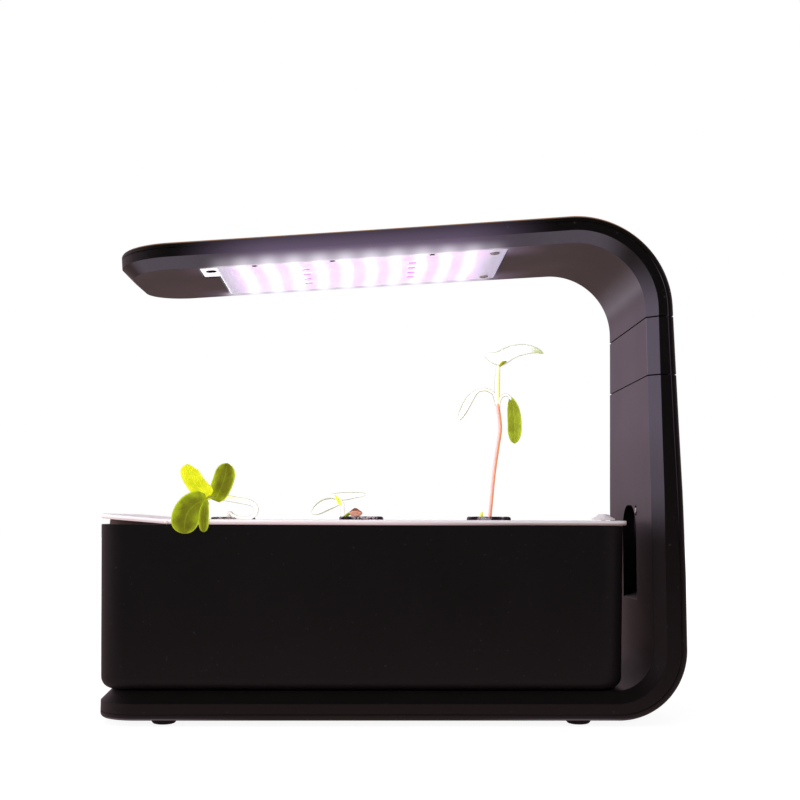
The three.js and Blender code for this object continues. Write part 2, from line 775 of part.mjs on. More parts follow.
function ledBoard() {
  let board = join(
    bandBox(boardStart, boardEnd, -boardWidth / 2, boardWidth / 2, boardIn, boardOut),
    bandBox(boardEnd - overrun, boardEnd + boardTabLength, boardWidth / 2 - boardTabWidth, boardWidth / 2,
      boardIn, boardOut),
    bandBox(connectorStart, connectorStart + plugLength, -plugWidth / 2, plugWidth / 2,
      boardOut - overrun, leadDepth + leadRadius),
  );
  for (let column = 0; column < ledColumns; column++) {
    const s = onArm(boardRight - ledInset - column * ledPitch);
    for (let row = 0; row < ledRows; row++) {
      const w = (row - (ledRows - 1) / 2) * ledRowPitch;
      board = join(board, bandBox(s - ledLength / 2, s + ledLength / 2, w - ledWidth / 2, w + ledWidth / 2,
        boardIn - ledHeight, boardIn + boardThick / 2));
    }
  }
  for (const { w } of boardScrews) {
    board = cut(board, bandPost(screwShank + gap, boardStart + boardScrewInset, w, -overrun, boardOut + overrun));
  }
  const slotMiddle = boardEnd - slotInset;
  return cut(board, bandBox(slotMiddle - slotLength / 2, slotMiddle + slotLength / 2, slotSide - slotWidth / 2,
    slotSide + slotWidth / 2, -overrun, boardOut + overrun));
}

add('arm_shell', armShell(), blackPlastic);
add('arm_cover', armCover(), blackPlastic);
add('arm_core', spigot(highSeam - spigotDepth, highSeam + spigotHold), blackPlastic);
add('arm_plug', contact(highSeam - spigotDepth, plugTop, contactIn, contactOut,
  { pins: true, holes: false }), blackPlastic);
add('led_board', ledBoard(), boardWhite);
for (const { side, w } of boardScrews) {
  add(`led_screw_${side}`, screw(boardStart + boardScrewInset, w, boardIn - gap, -1,
    { shank: boardScrewLength, rise: boardIn }), steel);
}
for (const { end, s } of armScrews) {
  add(`arm_screw_${end}`, screw(s, -armScrewSide, armSeat, -1, {}), steel);
}

// Leads
const socketBottom = socketTop - contactHeight;
add('stand_lead', lead([
  [onDeck(driverRight) + gap, leadSide, leadDepth],
  [deckRun, leadSide, leadDepth],
  [onColumn(recessBottom), leadSide, leadDepth],
  [onColumn(recessTop), leadSide, leadDepth],
  [socketBottom - leadStep, 0, leadDepth],
  [socketBottom - gap, 0, leadDepth],
]), wire);
add('arm_lead', lead([
  [plugTop + gap, 0, leadDepth],
  [(plugTop + connectorStart) / 2, 0, leadDepth],
  [connectorStart - gap, 0, leadDepth],
]), wire);

// Tank
function tankLevels(inset, bottom, round, top) {
  const levels = [];
  const radius = Math.max(tankBaseRound - inset, 0);
  for (let k = 0; k <= cornerSteps; k++) {
    const angle = k / cornerSteps * Math.PI / 2;
    levels.push([bottom + radius * (1 - Math.cos(angle)), tankDraft + round - radius * Math.sin(angle)]);
  }
  levels.push([top, inset]);
  return levels.map(([z, extra]) => roundedOutline(tankLeft + extra, tankRight - extra,
    -tankWidth / 2 + extra, tankWidth / 2 - extra, tankCorner - Math.min(extra, inset), z));
}

add('tank', cut(
  loft(tankLevels(0, tankBottom, tankBaseRound, tankTop)),
  loft(tankLevels(tankWall, tankBottom + tankWall, tankBaseRound, tankTop + overrun)),
), tankPlastic);

// Planting tray
const podXs = [-1, 0, 1].map((place) => tankMiddle - podShift + place * podPitchShare * tankLength);
const podNames = ['left', 'middle', 'right'];
const skirtOut = { left: tankLeft + skirtInset, right: tankRight - skirtInset, side: tankWidth / 2 - skirtInset };

function plate(x0, x1) {
  const outline = (z) => roundedOutline(tankLeft, trayRight, -tankWidth / 2, tankWidth / 2, tankCorner, z);
  return loft([outline(trayBottom), outline(trayTop)]).intersect(box(x0, x1, -tankWidth, tankWidth, 0, length));
}

function skirt(x0, x1, depth) {
  const ring = (inset, z) => roundedOutline(x0 + inset, x1 - inset, -skirtOut.side + inset,
    skirtOut.side - inset, tankCorner - skirtInset - inset, z);
  return cut(
    loft([ring(0, trayBottom - depth), ring(0, trayBottom + trayThick / 2)]),
    loft([ring(skirtWall, trayBottom - depth - overrun), ring(skirtWall, trayBottom + trayThick)]),
  );
}

function hingeRod(radius, y0, y1) {
  const geometry = new THREE.CylinderGeometry(radius, radius, y1 - y0, screwSides);
  return solid(geometry.translate(hingeX, (y0 + y1) / 2, hingeZ));
}

function ears(clearance) {
  return [-1, 1].map((side) => {
    const middle = side * (tankWidth / 2 - earInset);
    return { y0: middle - earWidth / 2 - clearance, y1: middle + earWidth / 2 + clearance };
  });
}

function tray() {
  let body = join(
    plate(hingeX + hingeRadius + hingeClearance, trayRight + overrun),
    skirt(hingeX + hingeRadius + hingeClearance + skirtWall, skirtOut.right, traySkirt),
  );
  for (const { y0, y1 } of ears(0)) {
    body = join(body, hingeRod(hingeRadius, y0, y1), box(hingeX, hingeX + 2 * hingeRadius + hingeClearance,
      y0, y1, trayBottom, trayTop));
  }
  for (const x of podXs) {
    const mouth = cupMouth + cupWall + gap;
    body = cut(body, post(mouth, x, 0, trayBottom - overrun, trayTop + overrun),
      post(cupFlange + gap, x, 0, trayTop - cupFlangeThick - gap, trayTop + overrun));
  }
  return cut(body, hingeRod(hingeBore, -tankWidth, tankWidth),
    post(floatStem + gap, floatX, floatY, 0, trayTop + overrun, screwSides));
}

function fillFlap() {
  let flap = join(
    plate(tankLeft - overrun, hingeX),
    hingeRod(hingeRadius, -tankWidth / 2 + edgeRound, tankWidth / 2 - edgeRound),
    skirt(skirtOut.left, hingeX - flapBack, flapSkirt),
  );
  for (const { y0, y1 } of ears(gap)) {
    flap = cut(flap, box(hingeX - hingeRadius - hingeClearance, hingeX + 2 * hingeRadius, y0, y1, 0, length));
  }
  return cut(flap, hingeRod(hingeBore, -tankWidth, tankWidth));
}

add('tray', tray(), whitePlastic);
add('flap_pin', hingeRod(hingePin, pinInset - tankWidth / 2, tankWidth / 2 - pinInset), steel);

const hinge = new THREE.Group();
hinge.position.set(hingeX, 0, hingeZ);
hinge.rotation.y = flapRest;
const flapPlace = new THREE.Group();
flapPlace.position.set(-hingeX, 0, -hingeZ);
hinge.add(flapPlace);
garden.add(hinge);
add('fill_flap', fillFlap(), whitePlastic, flapPlace);

// Float
const capBottom = trayTop + gap;
const stemEnd = capBottom - floatStemLength;
add('float_indicator', turned([[0, stemEnd], [floatStem, stemEnd], [floatStem, capBottom], [capRadius, capBottom],
  [capRadius, capBottom + overrun * roundShare], [capTop, capBottom + capHeight], [0, capBottom + capHeight]],
floatX, floatY, roundSides), whitePlastic);

function floatBody() {
  const [x0, x1] = [floatX - floatBack, floatX - floatBack + floatLength];
  const outline = (z) => roundedOutline(x0, x1, floatY - floatWidth / 2, floatY + floatWidth / 2, edgeRound, z);
  const bottom = stemEnd - edgeRound;
  return cut(loft([outline(bottom), outline(bottom + floatHeight)]),
    post(floatStem + gap, floatX, floatY, stemEnd - gap, trayTop, screwSides));
}

add('float_body', floatBody(), cork);

// Pods
const cupTop = trayTop;
const cupBottom = cupTop - cupDepth;

function netCup(x) {
  const outer = [[0, cupBottom], [cupFoot + cupWall, cupBottom],
    [cupMouth + cupWall, cupTop - cupFlangeThick], [cupFlange, cupTop - cupFlangeThick], [cupFlange, cupTop]];
  const inner = [[cupMouth, cupTop], [cupFoot, cupBottom + cupWall], [0, cupBottom + cupWall]];
  let cup = turned([...outer, ...inner], x, 0);
  for (let k = 0; k < cupSlots / 2; k++) {
    const slot = new THREE.BoxGeometry(3 * cupMouth, cupSlotWidth, cupSlotHeight);
    slot.translate(0, 0, cupBottom + cupSlotFoot + cupSlotHeight / 2).rotateZ(Math.PI * k / (cupSlots / 2));
    cup = cut(cup, solid(slot.translate(x, 0, 0)));
  }
  return cup;
}

function growPlug(x, stemOffset) {
  const foot = cupBottom + cupWall + gap;
  const top = cupTop + plugProud;
  const plug = turned([[0, foot], [cupFoot - gap, foot], [cupMouth - gap, cupTop], [cupMouth - gap, top - plugStep],
    [cupMouth - plugStep, top], [0, top]], x, 0);
  return cut(plug, post(stemRadius + gap, x + stemOffset, 0, top - stemSocket - gap, top + overrun, screwSides));
}

// Plants. Their shares are of plantHeight, from the middle of the growing plug's top.
const leafFormShares = [0.24, 0.62, 0.94, 1, 0.8, 0.48, 0.08];
const plants = {
  left: {
    stemShares: [[0, 0, -0.06], [0, 0, -0.02], [0, 0, 0.012], [0.012, -0.01, 0.034], [0.07, -0.05, 0.027],
      [0.125, -0.09, 0.045], [0.1, -0.12, 0.076], [-0.024, -0.16, 0.09], [-0.085, -0.25, 0.108]],
    leaves: [
      { pathShares: [[-0.078, -0.24, 0.106], [-0.15, -0.3, 0.2], [-0.225, -0.34, 0.262]], widthShare: 0.14 },
      { pathShares: [[-0.085, -0.24, 0.106], [-0.035, -0.27, 0.17], [-0.004, -0.29, 0.27]], widthShare: 0.12 },
      { pathShares: [[-0.08, -0.235, 0.106], [-0.11, -0.44, 0.1], [-0.14, -0.584, 0.02],
        [-0.18, -0.592, -0.093]], widthShare: 0.17, foldShare: 0 },
    ],
  },
  middle: {
    stemShares: [[-0.097, 0, -0.06], [-0.098, 0, 0.02], [-0.111, 0, 0.123]],
    leaves: [
      { pathShares: [[-0.176, 0.02, 0.108], [-0.11, 0, 0.124], [-0.04, -0.01, 0.128], [0.023, -0.02, 0.118]],
        widthShare: 0.1 },
      { pathShares: [[-0.11, 0, 0.1], [-0.19, -0.02, 0.078], [-0.27, -0.04, 0.018]], widthShare: 0.09 },
    ],
    huskShares: [[-0.098, 0, 0.012], [-0.06, -0.005, 0.02], [-0.015, -0.01, 0.026]],
  },
  right: {
    stemShares: [[0.012, 0, -0.06], [0.012, 0, 0.01], [0.02, 0, 0.1], [0.033, 0, 0.246], [0.062, 0, 0.466],
      [0.054, 0, 0.617], [0.058, 0, 0.76], [0.07, 0, 0.935]],
    leaves: [
      { pathShares: [[-0.02, 0, 0.9], [0.08, 0, 0.94], [0.2, 0, 0.945], [0.307, 0, 0.9]], widthShare: 0.16 },
      { pathShares: [[0.05, 0, 0.632], [0.11, -0.02, 0.67], [0.16, -0.03, 0.56], [0.15, -0.03, 0.4]],
        widthShare: 0.09 },
      { pathShares: [[0.056, 0, 0.69], [-0.02, 0, 0.7], [-0.1, 0, 0.62], [-0.174, 0, 0.53]], widthShare: 0.05 },
    ],
  },
};

function plantCurve(shares, x) {
  const points = shares.map((share) => new THREE.Vector3(...share).multiplyScalar(plantHeight));
  const foot = new THREE.Vector3(x, 0, cupTop + plugProud);
  return new THREE.CatmullRomCurve3(points.map((point) => point.add(foot)));
}

function stemTube(shares, x) {
  return solid(new THREE.ExtrudeGeometry(roundSection(stemRadius, stemSides),
    { extrudePath: plantCurve(shares, x), steps: stemSteps, bevelEnabled: false }));
}

// A leaf along a curve, folded a little along its middle. Its face looks up where it starts.
function leaf({ pathShares, widthShare, foldShare = 1 }, x) {
  const curve = plantCurve(pathShares, x);
  const reach = curve.getPoint(1).sub(curve.getPoint(0));
  const side = Math.abs(reach.y) > Math.abs(reach.x) ? new THREE.Vector3(1, 0, 0) : new THREE.Vector3(0, 1, 0);
  if (side.clone().cross(curve.getTangentAt(0)).z < 0) side.negate();
  const end = leafFormShares.length - 1;
  return loft(leafFormShares.map((share, k) => {
    const middle = curve.getPointAt(k / end);
    const normal = side.clone().cross(curve.getTangentAt(k / end)).normalize();
    const corner = (way, face) => middle.clone()
      .addScaledVector(side, way * share * widthShare * plantHeight / 2)
      .addScaledVector(normal, face * leafThick / 2 + Math.abs(way) * share * foldShare * leafFold)
      .toArray();
    return [corner(-1, 1), corner(0, 1), corner(1, 1), corner(1, -1), corner(0, -1), corner(-1, -1)];
  }));
}

function seedling({ stemShares, leaves, huskShares }, x) {
  let plant = join(stemTube(stemShares, x), ...leaves.map((form) => leaf(form, x)));
  if (huskShares) {
    const end = plantCurve(huskShares, x).getPoint(1);
    const husk = new THREE.SphereGeometry(1, huskSides, huskSides / 2).scale(huskLength / 2, huskWidth / 2,
      huskWidth / 2);
    plant = join(plant, stemTube(huskShares, x), solid(husk.translate(end.x, end.y, end.z)));
  }
  return plant;
}

for (const [i, name] of podNames.entries()) {
  const plant = plants[name];
  add(`net_cup_${name}`, netCup(podXs[i]), blackPlastic);
  add(`foam_plug_${name}`, growPlug(podXs[i], plant.stemShares[0][0] * plantHeight), foam);
  add(`seedling_${name}`, seedling(plant, podXs[i]), leafGreen);
}

export default garden;
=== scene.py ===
import math
import random

import bmesh
import bpy
from mathutils import Matrix, Vector


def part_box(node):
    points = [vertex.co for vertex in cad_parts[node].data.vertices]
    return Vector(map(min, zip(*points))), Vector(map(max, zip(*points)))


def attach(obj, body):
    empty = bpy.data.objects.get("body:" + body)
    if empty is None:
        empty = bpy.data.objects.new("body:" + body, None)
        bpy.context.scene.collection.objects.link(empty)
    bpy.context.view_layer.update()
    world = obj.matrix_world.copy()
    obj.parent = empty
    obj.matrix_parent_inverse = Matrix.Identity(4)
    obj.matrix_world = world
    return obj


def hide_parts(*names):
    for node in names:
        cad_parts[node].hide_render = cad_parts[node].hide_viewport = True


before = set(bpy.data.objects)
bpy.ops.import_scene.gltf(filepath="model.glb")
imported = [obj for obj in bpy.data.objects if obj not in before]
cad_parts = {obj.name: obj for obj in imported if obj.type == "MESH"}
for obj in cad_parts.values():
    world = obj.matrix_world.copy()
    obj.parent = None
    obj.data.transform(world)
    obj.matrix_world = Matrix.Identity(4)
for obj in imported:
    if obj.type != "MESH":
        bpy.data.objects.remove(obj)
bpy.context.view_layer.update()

mm = 0.001


def rgb(red, green, blue):
    return (red, green, blue, 1.0)


def shaded(colour, share):
    return [channel * share for channel in colour[:3]] + [1]


print("solids loaded:", len(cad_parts))

# Camera, from the photograph's own perspective. The focal length is in pixels of an image 800 wide.
cameraView = {"imageWidth": 800, "sensor": 36, "focal": 1230, "place": (-12.32, -687.36, 103.63),
              "pitch": 0.09664, "yaw": 0.02537, "roll": 0.00401}
bpy.ops.object.camera_add()
camera = bpy.context.active_object
camera.name = "view_camera"
camera.data.sensor_width = cameraView["sensor"]
camera.data.lens = cameraView["focal"] * cameraView["sensor"] / cameraView["imageWidth"]
camera.matrix_world = (Matrix.Translation(Vector(cameraView["place"]) * mm)
                       @ Matrix.Rotation(-cameraView["yaw"], 4, "Z")
                       @ Matrix.Rotation(math.pi / 2 + cameraView["pitch"], 4, "X")
                       @ Matrix.Rotation(cameraView["roll"], 4, "Z"))
bpy.context.scene.camera = camera
bpy.context.scene.view_settings.view_transform = "Standard"
print("camera placed")


# Shader values. A value in a sum or product adds its own Math node.
class Value:
    def __init__(self, finish, socket):
        self.finish = finish
        self.socket = socket

    def maths(self, operation, *inputs):
        return self.finish.node("ShaderNodeMath", {"operation": operation}, dict(enumerate(inputs)))

    def __add__(self, other):
        return self.maths("ADD", self, other)

    def __radd__(self, other):
        return self.maths("ADD", other, self)

    def __sub__(self, other):
        return self.maths("SUBTRACT", self, other)

    def __rsub__(self, other):
        return self.maths("SUBTRACT", other, self)

    def __mul__(self, other):
        return self.maths("MULTIPLY", self, other)

    def __rmul__(self, other):
        return self.maths("MULTIPLY", other, self)

    def __truediv__(self, other):
        return self.maths("DIVIDE", self, other)

    def __rtruediv__(self, other):
        return self.maths("DIVIDE", other, self)

    def __pow__(self, other):
        return self.maths("POWER", self, other)

    def __abs__(self):
        return self.maths("ABSOLUTE", self)

    def cosine(self):
        return self.maths("COSINE", self)

    def between(self, low, high):  # 0 below low, 1 above high
        settings = {"interpolation_type": "SMOOTHSTEP"}
        return self.finish.node("ShaderNodeMapRange", settings, {0: self, 1: low, 2: high, 3: 0.0, 4: 1.0})


class Finish:
    def __init__(self, name, world=None):
        self.material = world or bpy.data.materials.new(name)
        self.material.use_nodes = True
        self.tree = self.material.node_tree
        self.tree.nodes.clear()
        self.place = self.node("ShaderNodeTexCoord", {}, {}, "Object")

    def node(self, kind, settings, inputs, output=0):
        made = self.tree.nodes.new(kind)
        for key, value in settings.items():
            if key == "stops":
                for stop, (place, colour) in zip([made.color_ramp.elements[0], made.color_ramp.elements[1]],
                                                 value[:2]):
                    stop.position, stop.color = place, colour
                for place, colour in value[2:]:
                    made.color_ramp.elements.new(place).color = colour
            else:
                setattr(made, key, value)
        for key, value in inputs.items():
            if isinstance(value, Value):
                self.tree.links.new(value.socket, made.inputs[key])
            else:
                made.inputs[key].default_value = value
        return Value(self, made.outputs[output])

    def noise(self, size, detail=2.0, rough=0.5, stretch=None):  # size of a blotch in mm
        place = self.place
        if stretch:
            place = self.node("ShaderNodeMapping", {}, {"Vector": place, "Scale": stretch})
        return self.node("ShaderNodeTexNoise", {}, {"Vector": place, "Scale": 1 / (size * mm), "Detail": detail,
                                                    "Roughness": rough})

    def cells(self, size, feature="F1"):
        return self.node("ShaderNodeTexVoronoi", {"feature": feature}, {"Vector": self.place,
                                                                        "Scale": 1 / (size * mm)})

    def axis(self, name):  # one coordinate, in mm
        return self.part(self.place, name) * (1 / mm)

    def part(self, vector, name):
        return self.node("ShaderNodeSeparateXYZ", {}, {0: vector}, name)

    def facing(self, name):  # which way the surface faces
        return self.part(self.node("ShaderNodeTexCoord", {}, {}, "Normal"), name)

    def mix(self, share, first, second):
        return self.node("ShaderNodeMix", {"data_type": "RGBA"}, {0: share, 6: first, 7: second}, 2)

    def bump(self, height, depth):  # depth in mm
        return self.node("ShaderNodeBump", {}, {"Height": height, "Distance": depth * mm, "Strength": 1.0})

    def surface(self, **inputs):
        named = {key.replace("_", " "): value for key, value in inputs.items()}
        shader = self.node("ShaderNodeBsdfPrincipled", {}, named)
        return self.close(shader)

    def seen(self):  # 1 where the camera sees it, also through glass
        straight = self.node("ShaderNodeLightPath", {}, {}, "Is Camera Ray")
        return straight.maths("MAXIMUM", straight, self.node("ShaderNodeLightPath", {}, {}, "Is Transmission Ray"))

    def mirrored(self):  # 1 where it shows in a glossy surface
        return self.node("ShaderNodeLightPath", {}, {}, "Is Glossy Ray")

    def light(self, kind, colour, strength=1.0):
        return self.node("ShaderNode" + kind, {}, {"Color": colour, "Strength": strength})

    def blend(self, share, first, second):
        return self.node("ShaderNodeMixShader", {}, {0: share, 1: first, 2: second})

    def close(self, shader, end="ShaderNodeOutputMaterial"):
        end = self.tree.nodes.new(end)
        self.tree.links.new(shader.socket, end.inputs["Surface"])
        return self.material


# Finishes
# The lamps' light also spills over the housing beside the board: pale at a row, violet further away
spill = {"edge": 39, "height": 243.44, "rise": 0.0734, "near": 11, "far": 23, "left": -118, "right": 88,
         "fade": 56, "first": -104, "last": 66, "soft": 20}
rows = {"first": 43.0, "pitch": 13.7, "count": 10}
# Painted light on the column's inner face, brighter on its chamfer, with painted highlight lines along the chamfer's
# edges; it fades out downwards from 160 mm to 90 mm and upwards from 212 mm to 246 mm
columnGlow = {"from": 132, "low": 90, "mid": 122, "high": 212, "top": 246, "chamfer": rgb(0.085, 0.072, 0.098),
              "face": rgb(0.04, 0.03, 0.046), "edge": rgb(0.16, 0.145, 0.18)}


def lampSpill(finish):
    x, y, z = finish.axis("X"), finish.axis("Y"), finish.axis("Z")
    off = ((abs(y) - spill["edge"]) ** 2 + (z - x * spill["rise"] - spill["height"]) ** 2) ** 0.5
    within = x.between(spill["left"], spill["left"] + spill["fade"]) * x.between(spill["right"],
                                                                                spill["right"] - spill["fade"])
    row = ((x - rows["first"]) * (2 * math.pi / rows["pitch"])).cosine() * 0.2 + 0.8
    row = row * x.between(spill["first"], spill["first"] + spill["soft"]) * x.between(spill["last"], spill["last"]
                                                                                      - spill["soft"])
    down = finish.facing("Z") * -1
    lit = off.between(spill["far"], 3) * within * down.between(-0.75, -0.35)  # none on the arm's top
    glow = finish.mix(lit, rgb(0, 0, 0), rgb(0.2, 0.145, 0.24))
    glow = finish.mix(off.between(spill["near"], 1.5) * row, glow, rgb(0.95, 0.9, 1.0))
    # painted light on the arm's downward chamfers beyond the lamps' spill, up to the bend
    aside = abs(finish.facing("Y")).between(0.4, 0.6)
    sloped = down.between(0.4, 0.6) * down.between(0.9, 0.8) * (1 - within) * aside * x.between(130, 106)
    glow = finish.mix(sloped, glow, rgb(0.062, 0.053, 0.069))
    # painted light and painted highlight lines on the column's inner face and chamfer
    inward = finish.facing("X") * -1
    column = finish.mix(inward.between(0.8, 0.95), columnGlow["chamfer"], columnGlow["face"])
    column = finish.mix(inward.between(0.73, 0.79) * inward.between(0.985, 0.92), column, columnGlow["edge"])
    height = (z.between(columnGlow["low"], columnGlow["mid"]) * 0.7 + z.between(columnGlow["mid"], 160) * 0.3)
    height = height * z.between(columnGlow["top"], columnGlow["high"])
    reached = inward.between(0.35, 0.6) * x.between(columnGlow["from"] - 14, columnGlow["from"]) * height
    return finish.mix(reached, glow, column)


def backLight(finish):  # the room behind shows warm along the lamp's upper edge
    up = finish.facing("Z")
    aside = abs(finish.facing("Y")).between(0.15, 0.35)
    edge = up.between(0.45, 0.8) * up.between(1.0, 0.97) * finish.axis("Z").between(225, 240) * aside
    return finish.mix(edge, lampSpill(finish), rgb(0.3, 0.17, 0.11))


def mouldedBlack(name, colour, roughness, grain, dust, shine=0.4, glow=None, worn=0.0):
    finish = Finish(name)
    cloud = finish.noise(38, 3.0)
    fine = finish.noise(grain, 3.0, 0.6)
    specks = finish.noise(1.7, 1.0).between(0.735, 0.79) * dust
    scratches = finish.noise(6, 1.0, 0.5, (1.0, 1.0, 0.12)).between(0.745, 0.76) * worn
    base = finish.mix(cloud, shaded(colour, 0.82), shaded(colour, 1.18))
    base = finish.mix(specks * 0.35 + scratches * 0.15, base, rgb(0.17, 0.15, 0.15))
    rough = roughness - 0.05 + cloud * 0.1 + fine * 0.06 + specks * 0.2
    normal = finish.bump(fine + cloud * 0.4, 0.035)
    light = {"Emission_Color": glow(finish), "Emission_Strength": 1.0} if glow else {}
    return finish.surface(Base_Color=base, Roughness=rough, Normal=normal, Specular_IOR_Level=shine, **light)


housingFinish = mouldedBlack("housing_plastic", rgb(0.0056, 0.0038, 0.004), 0.42, 0.55, 0.45, 0.45, lampSpill,
                             0.6)
coverFinish = mouldedBlack("cover_plastic", rgb(0.0058, 0.0038, 0.0032), 0.4, 0.55, 0.2, 0.45, backLight)
tankFinish = mouldedBlack("tank_plastic", rgb(0.0092, 0.0071, 0.0076), 0.44, 0.8, 0.35, 0.25)
# Painted shade: the flap's skirt, under the flap, is painted dark brown
skirtShadeFinish = mouldedBlack("skirt_painted_shade", rgb(0.1, 0.052, 0.04), 0.5, 0.8, 0.0)
cupFinish = mouldedBlack("cup_plastic", rgb(0.018, 0.016, 0.016), 0.45, 0.7, 0.0, 0.3)
contactFinish = mouldedBlack("contact_plastic", rgb(0.014, 0.014, 0.016), 0.4, 0.4, 0.0, 0.3)


def makeRubber():
    finish = Finish("foot_rubber")
    crumb = finish.noise(0.9, 4.0, 0.65)
    base = finish.mix(crumb, rgb(0.012, 0.012, 0.012), rgb(0.03, 0.029, 0.028))
    return finish.surface(Base_Color=base, Roughness=0.72 + crumb * 0.2, Normal=finish.bump(crumb, 0.08),
                          Specular_IOR_Level=0.3)


def makeWire():
    finish = Finish("lead_sleeve")
    along = finish.noise(2.5, 2.0)
    base = finish.mix(along, rgb(0.016, 0.016, 0.017), rgb(0.035, 0.034, 0.035))
    return finish.surface(Base_Color=base, Roughness=0.48 + along * 0.14, Normal=finish.bump(along, 0.03))


def makeSteel():
    finish = Finish("screw_steel")
    brushed = finish.noise(0.35, 3.0, 0.6, (1.0, 1.0, 0.15))
    stain = finish.noise(3.0, 2.0)
    base = finish.mix(brushed * 0.6 + stain * 0.4, rgb(0.42, 0.41, 0.4), rgb(0.72, 0.71, 0.7))
    return finish.surface(Base_Color=base, Metallic=1.0, Roughness=0.24 + brushed * 0.16 + stain * 0.1,
                          Normal=finish.bump(brushed, 0.012))


# Painted light: the lamps' light comes through the upper part of the tray's edge, less and less towards its right
# end. It is painted into the edge faces as a glow, and their lower part also gets painted shade.
edgeLight = {"hinge": 115, "slope": 0.0787, "low": 101.4, "high": 102.5}


def makeWhite():
    finish = Finish("tray_plastic")
    cloud = finish.noise(45, 3.0)
    fine = finish.noise(0.8, 2.0, 0.55)
    damp = finish.noise(9, 2.0).between(0.6, 0.78)
    base = finish.mix(cloud, rgb(0.78, 0.75, 0.755), rgb(0.83, 0.81, 0.815))
    base = finish.mix(damp * 0.12, base, rgb(0.66, 0.63, 0.61))
    up = finish.facing("Z").between(0.35, 0.9)
    x, away = finish.axis("X"), finish.axis("X").between(-150, 125)
    beyond = x * -1 - edgeLight["hinge"]
    level = finish.axis("Z") - beyond.maths("MAXIMUM", beyond, 0.0) * edgeLight["slope"]
    upper = level.between(edgeLight["low"], edgeLight["high"])
    # painted shade: the lower part of the edge faces darker and pinker, more so towards the right end
    base = finish.mix((1 - up) * (1 - upper), base, finish.mix(away, rgb(0.6, 0.47, 0.49), rgb(0.42, 0.31, 0.3)))
    # painted light: the edge faces glow, less towards the right end, the upper part by its own ramp; the top faces
    # glow faintly
    side = finish.mix(away, rgb(0.5, 0.44, 0.45), rgb(0.1, 0.06, 0.07))
    side = finish.mix(upper, finish.mix(x.between(-10, 75), rgb(0.33, 0.26, 0.27), rgb(0.01, 0.005, 0.005)), side)
    glow = finish.mix(up, side, rgb(0.06, 0.05, 0.055))
    return finish.surface(Base_Color=base, Roughness=0.36 + fine * 0.08 - damp * 0.12,
                          Normal=finish.bump(fine + cloud * 0.5, 0.02), Specular_IOR_Level=0.3,
                          Emission_Color=glow, Emission_Strength=1.0)


def makeCircuit():
    finish = Finish("circuit_board")
    x, y = finish.axis("X"), finish.axis("Y")
    tracks = ((x * 1.9).cosine() * (y * 0.7).cosine()).between(0.2, 0.4)
    wave = ((y * 2.2).cosine() * (x * 0.5).cosine()).between(0.3, 0.5)
    weave = finish.noise(0.6, 2.0)
    base = finish.mix(weave, rgb(0.012, 0.07, 0.03), rgb(0.02, 0.1, 0.045))
    base = finish.mix((tracks + wave) * 0.35, base, rgb(0.05, 0.2, 0.09))
    return finish.surface(Base_Color=base, Roughness=0.3 + weave * 0.12,
                          Normal=finish.bump(tracks + wave, 0.05))


def makeFloatFoam():
    finish = Finish("float_foam")
    pores = finish.cells(0.9)
    cloud = finish.noise(6, 3.0)
    base = finish.mix(cloud, rgb(0.6, 0.47, 0.3), rgb(0.78, 0.66, 0.48))
    base = finish.mix(pores.between(0.35, 0.1), base, rgb(0.4, 0.29, 0.17))
    return finish.surface(Base_Color=base, Roughness=0.85 + cloud * 0.1, Normal=finish.bump(pores, 0.12))


def makeGrowFoam():
    finish = Finish("grow_foam")
    crumb = finish.noise(1.1, 5.0, 0.7)
    grains = finish.cells(0.9)
    patch = finish.noise(9, 2.0).between(0.46, 0.6)
    base = finish.node("ShaderNodeValToRGB", {"stops": [(0.36, rgb(0.004, 0.003, 0.005)),
                                                        (0.66, rgb(0.09, 0.05, 0.06)),
                                                        (0.5, rgb(0.014, 0.008, 0.014)),
                                                        (0.56, rgb(0.05, 0.02, 0.035))]}, {0: crumb})
    base = finish.mix(grains.between(0.2, 0.07) * 0.5, base, rgb(0.3, 0.24, 0.24))
    pale = finish.mix(crumb.between(0.44, 0.5), rgb(0.05, 0.03, 0.05), rgb(0.78, 0.66, 0.68))
    base = finish.mix(patch * 0.85, base, pale)
    return finish.surface(Base_Color=base, Roughness=0.75 + crumb * 0.2,
                          Normal=finish.bump(crumb - grains * 0.5, 0.5), Specular_IOR_Level=0.2)


# The board's white lacquer, with the light of its lamps between the rows: white at a row, pink between two
boardLight = {"dim": rgb(0.2, 0.18, 0.3), "between": rgb(0.62, 0.36, 0.68), "row": rgb(1.0, 0.97, 1.0), "end": -93.7}


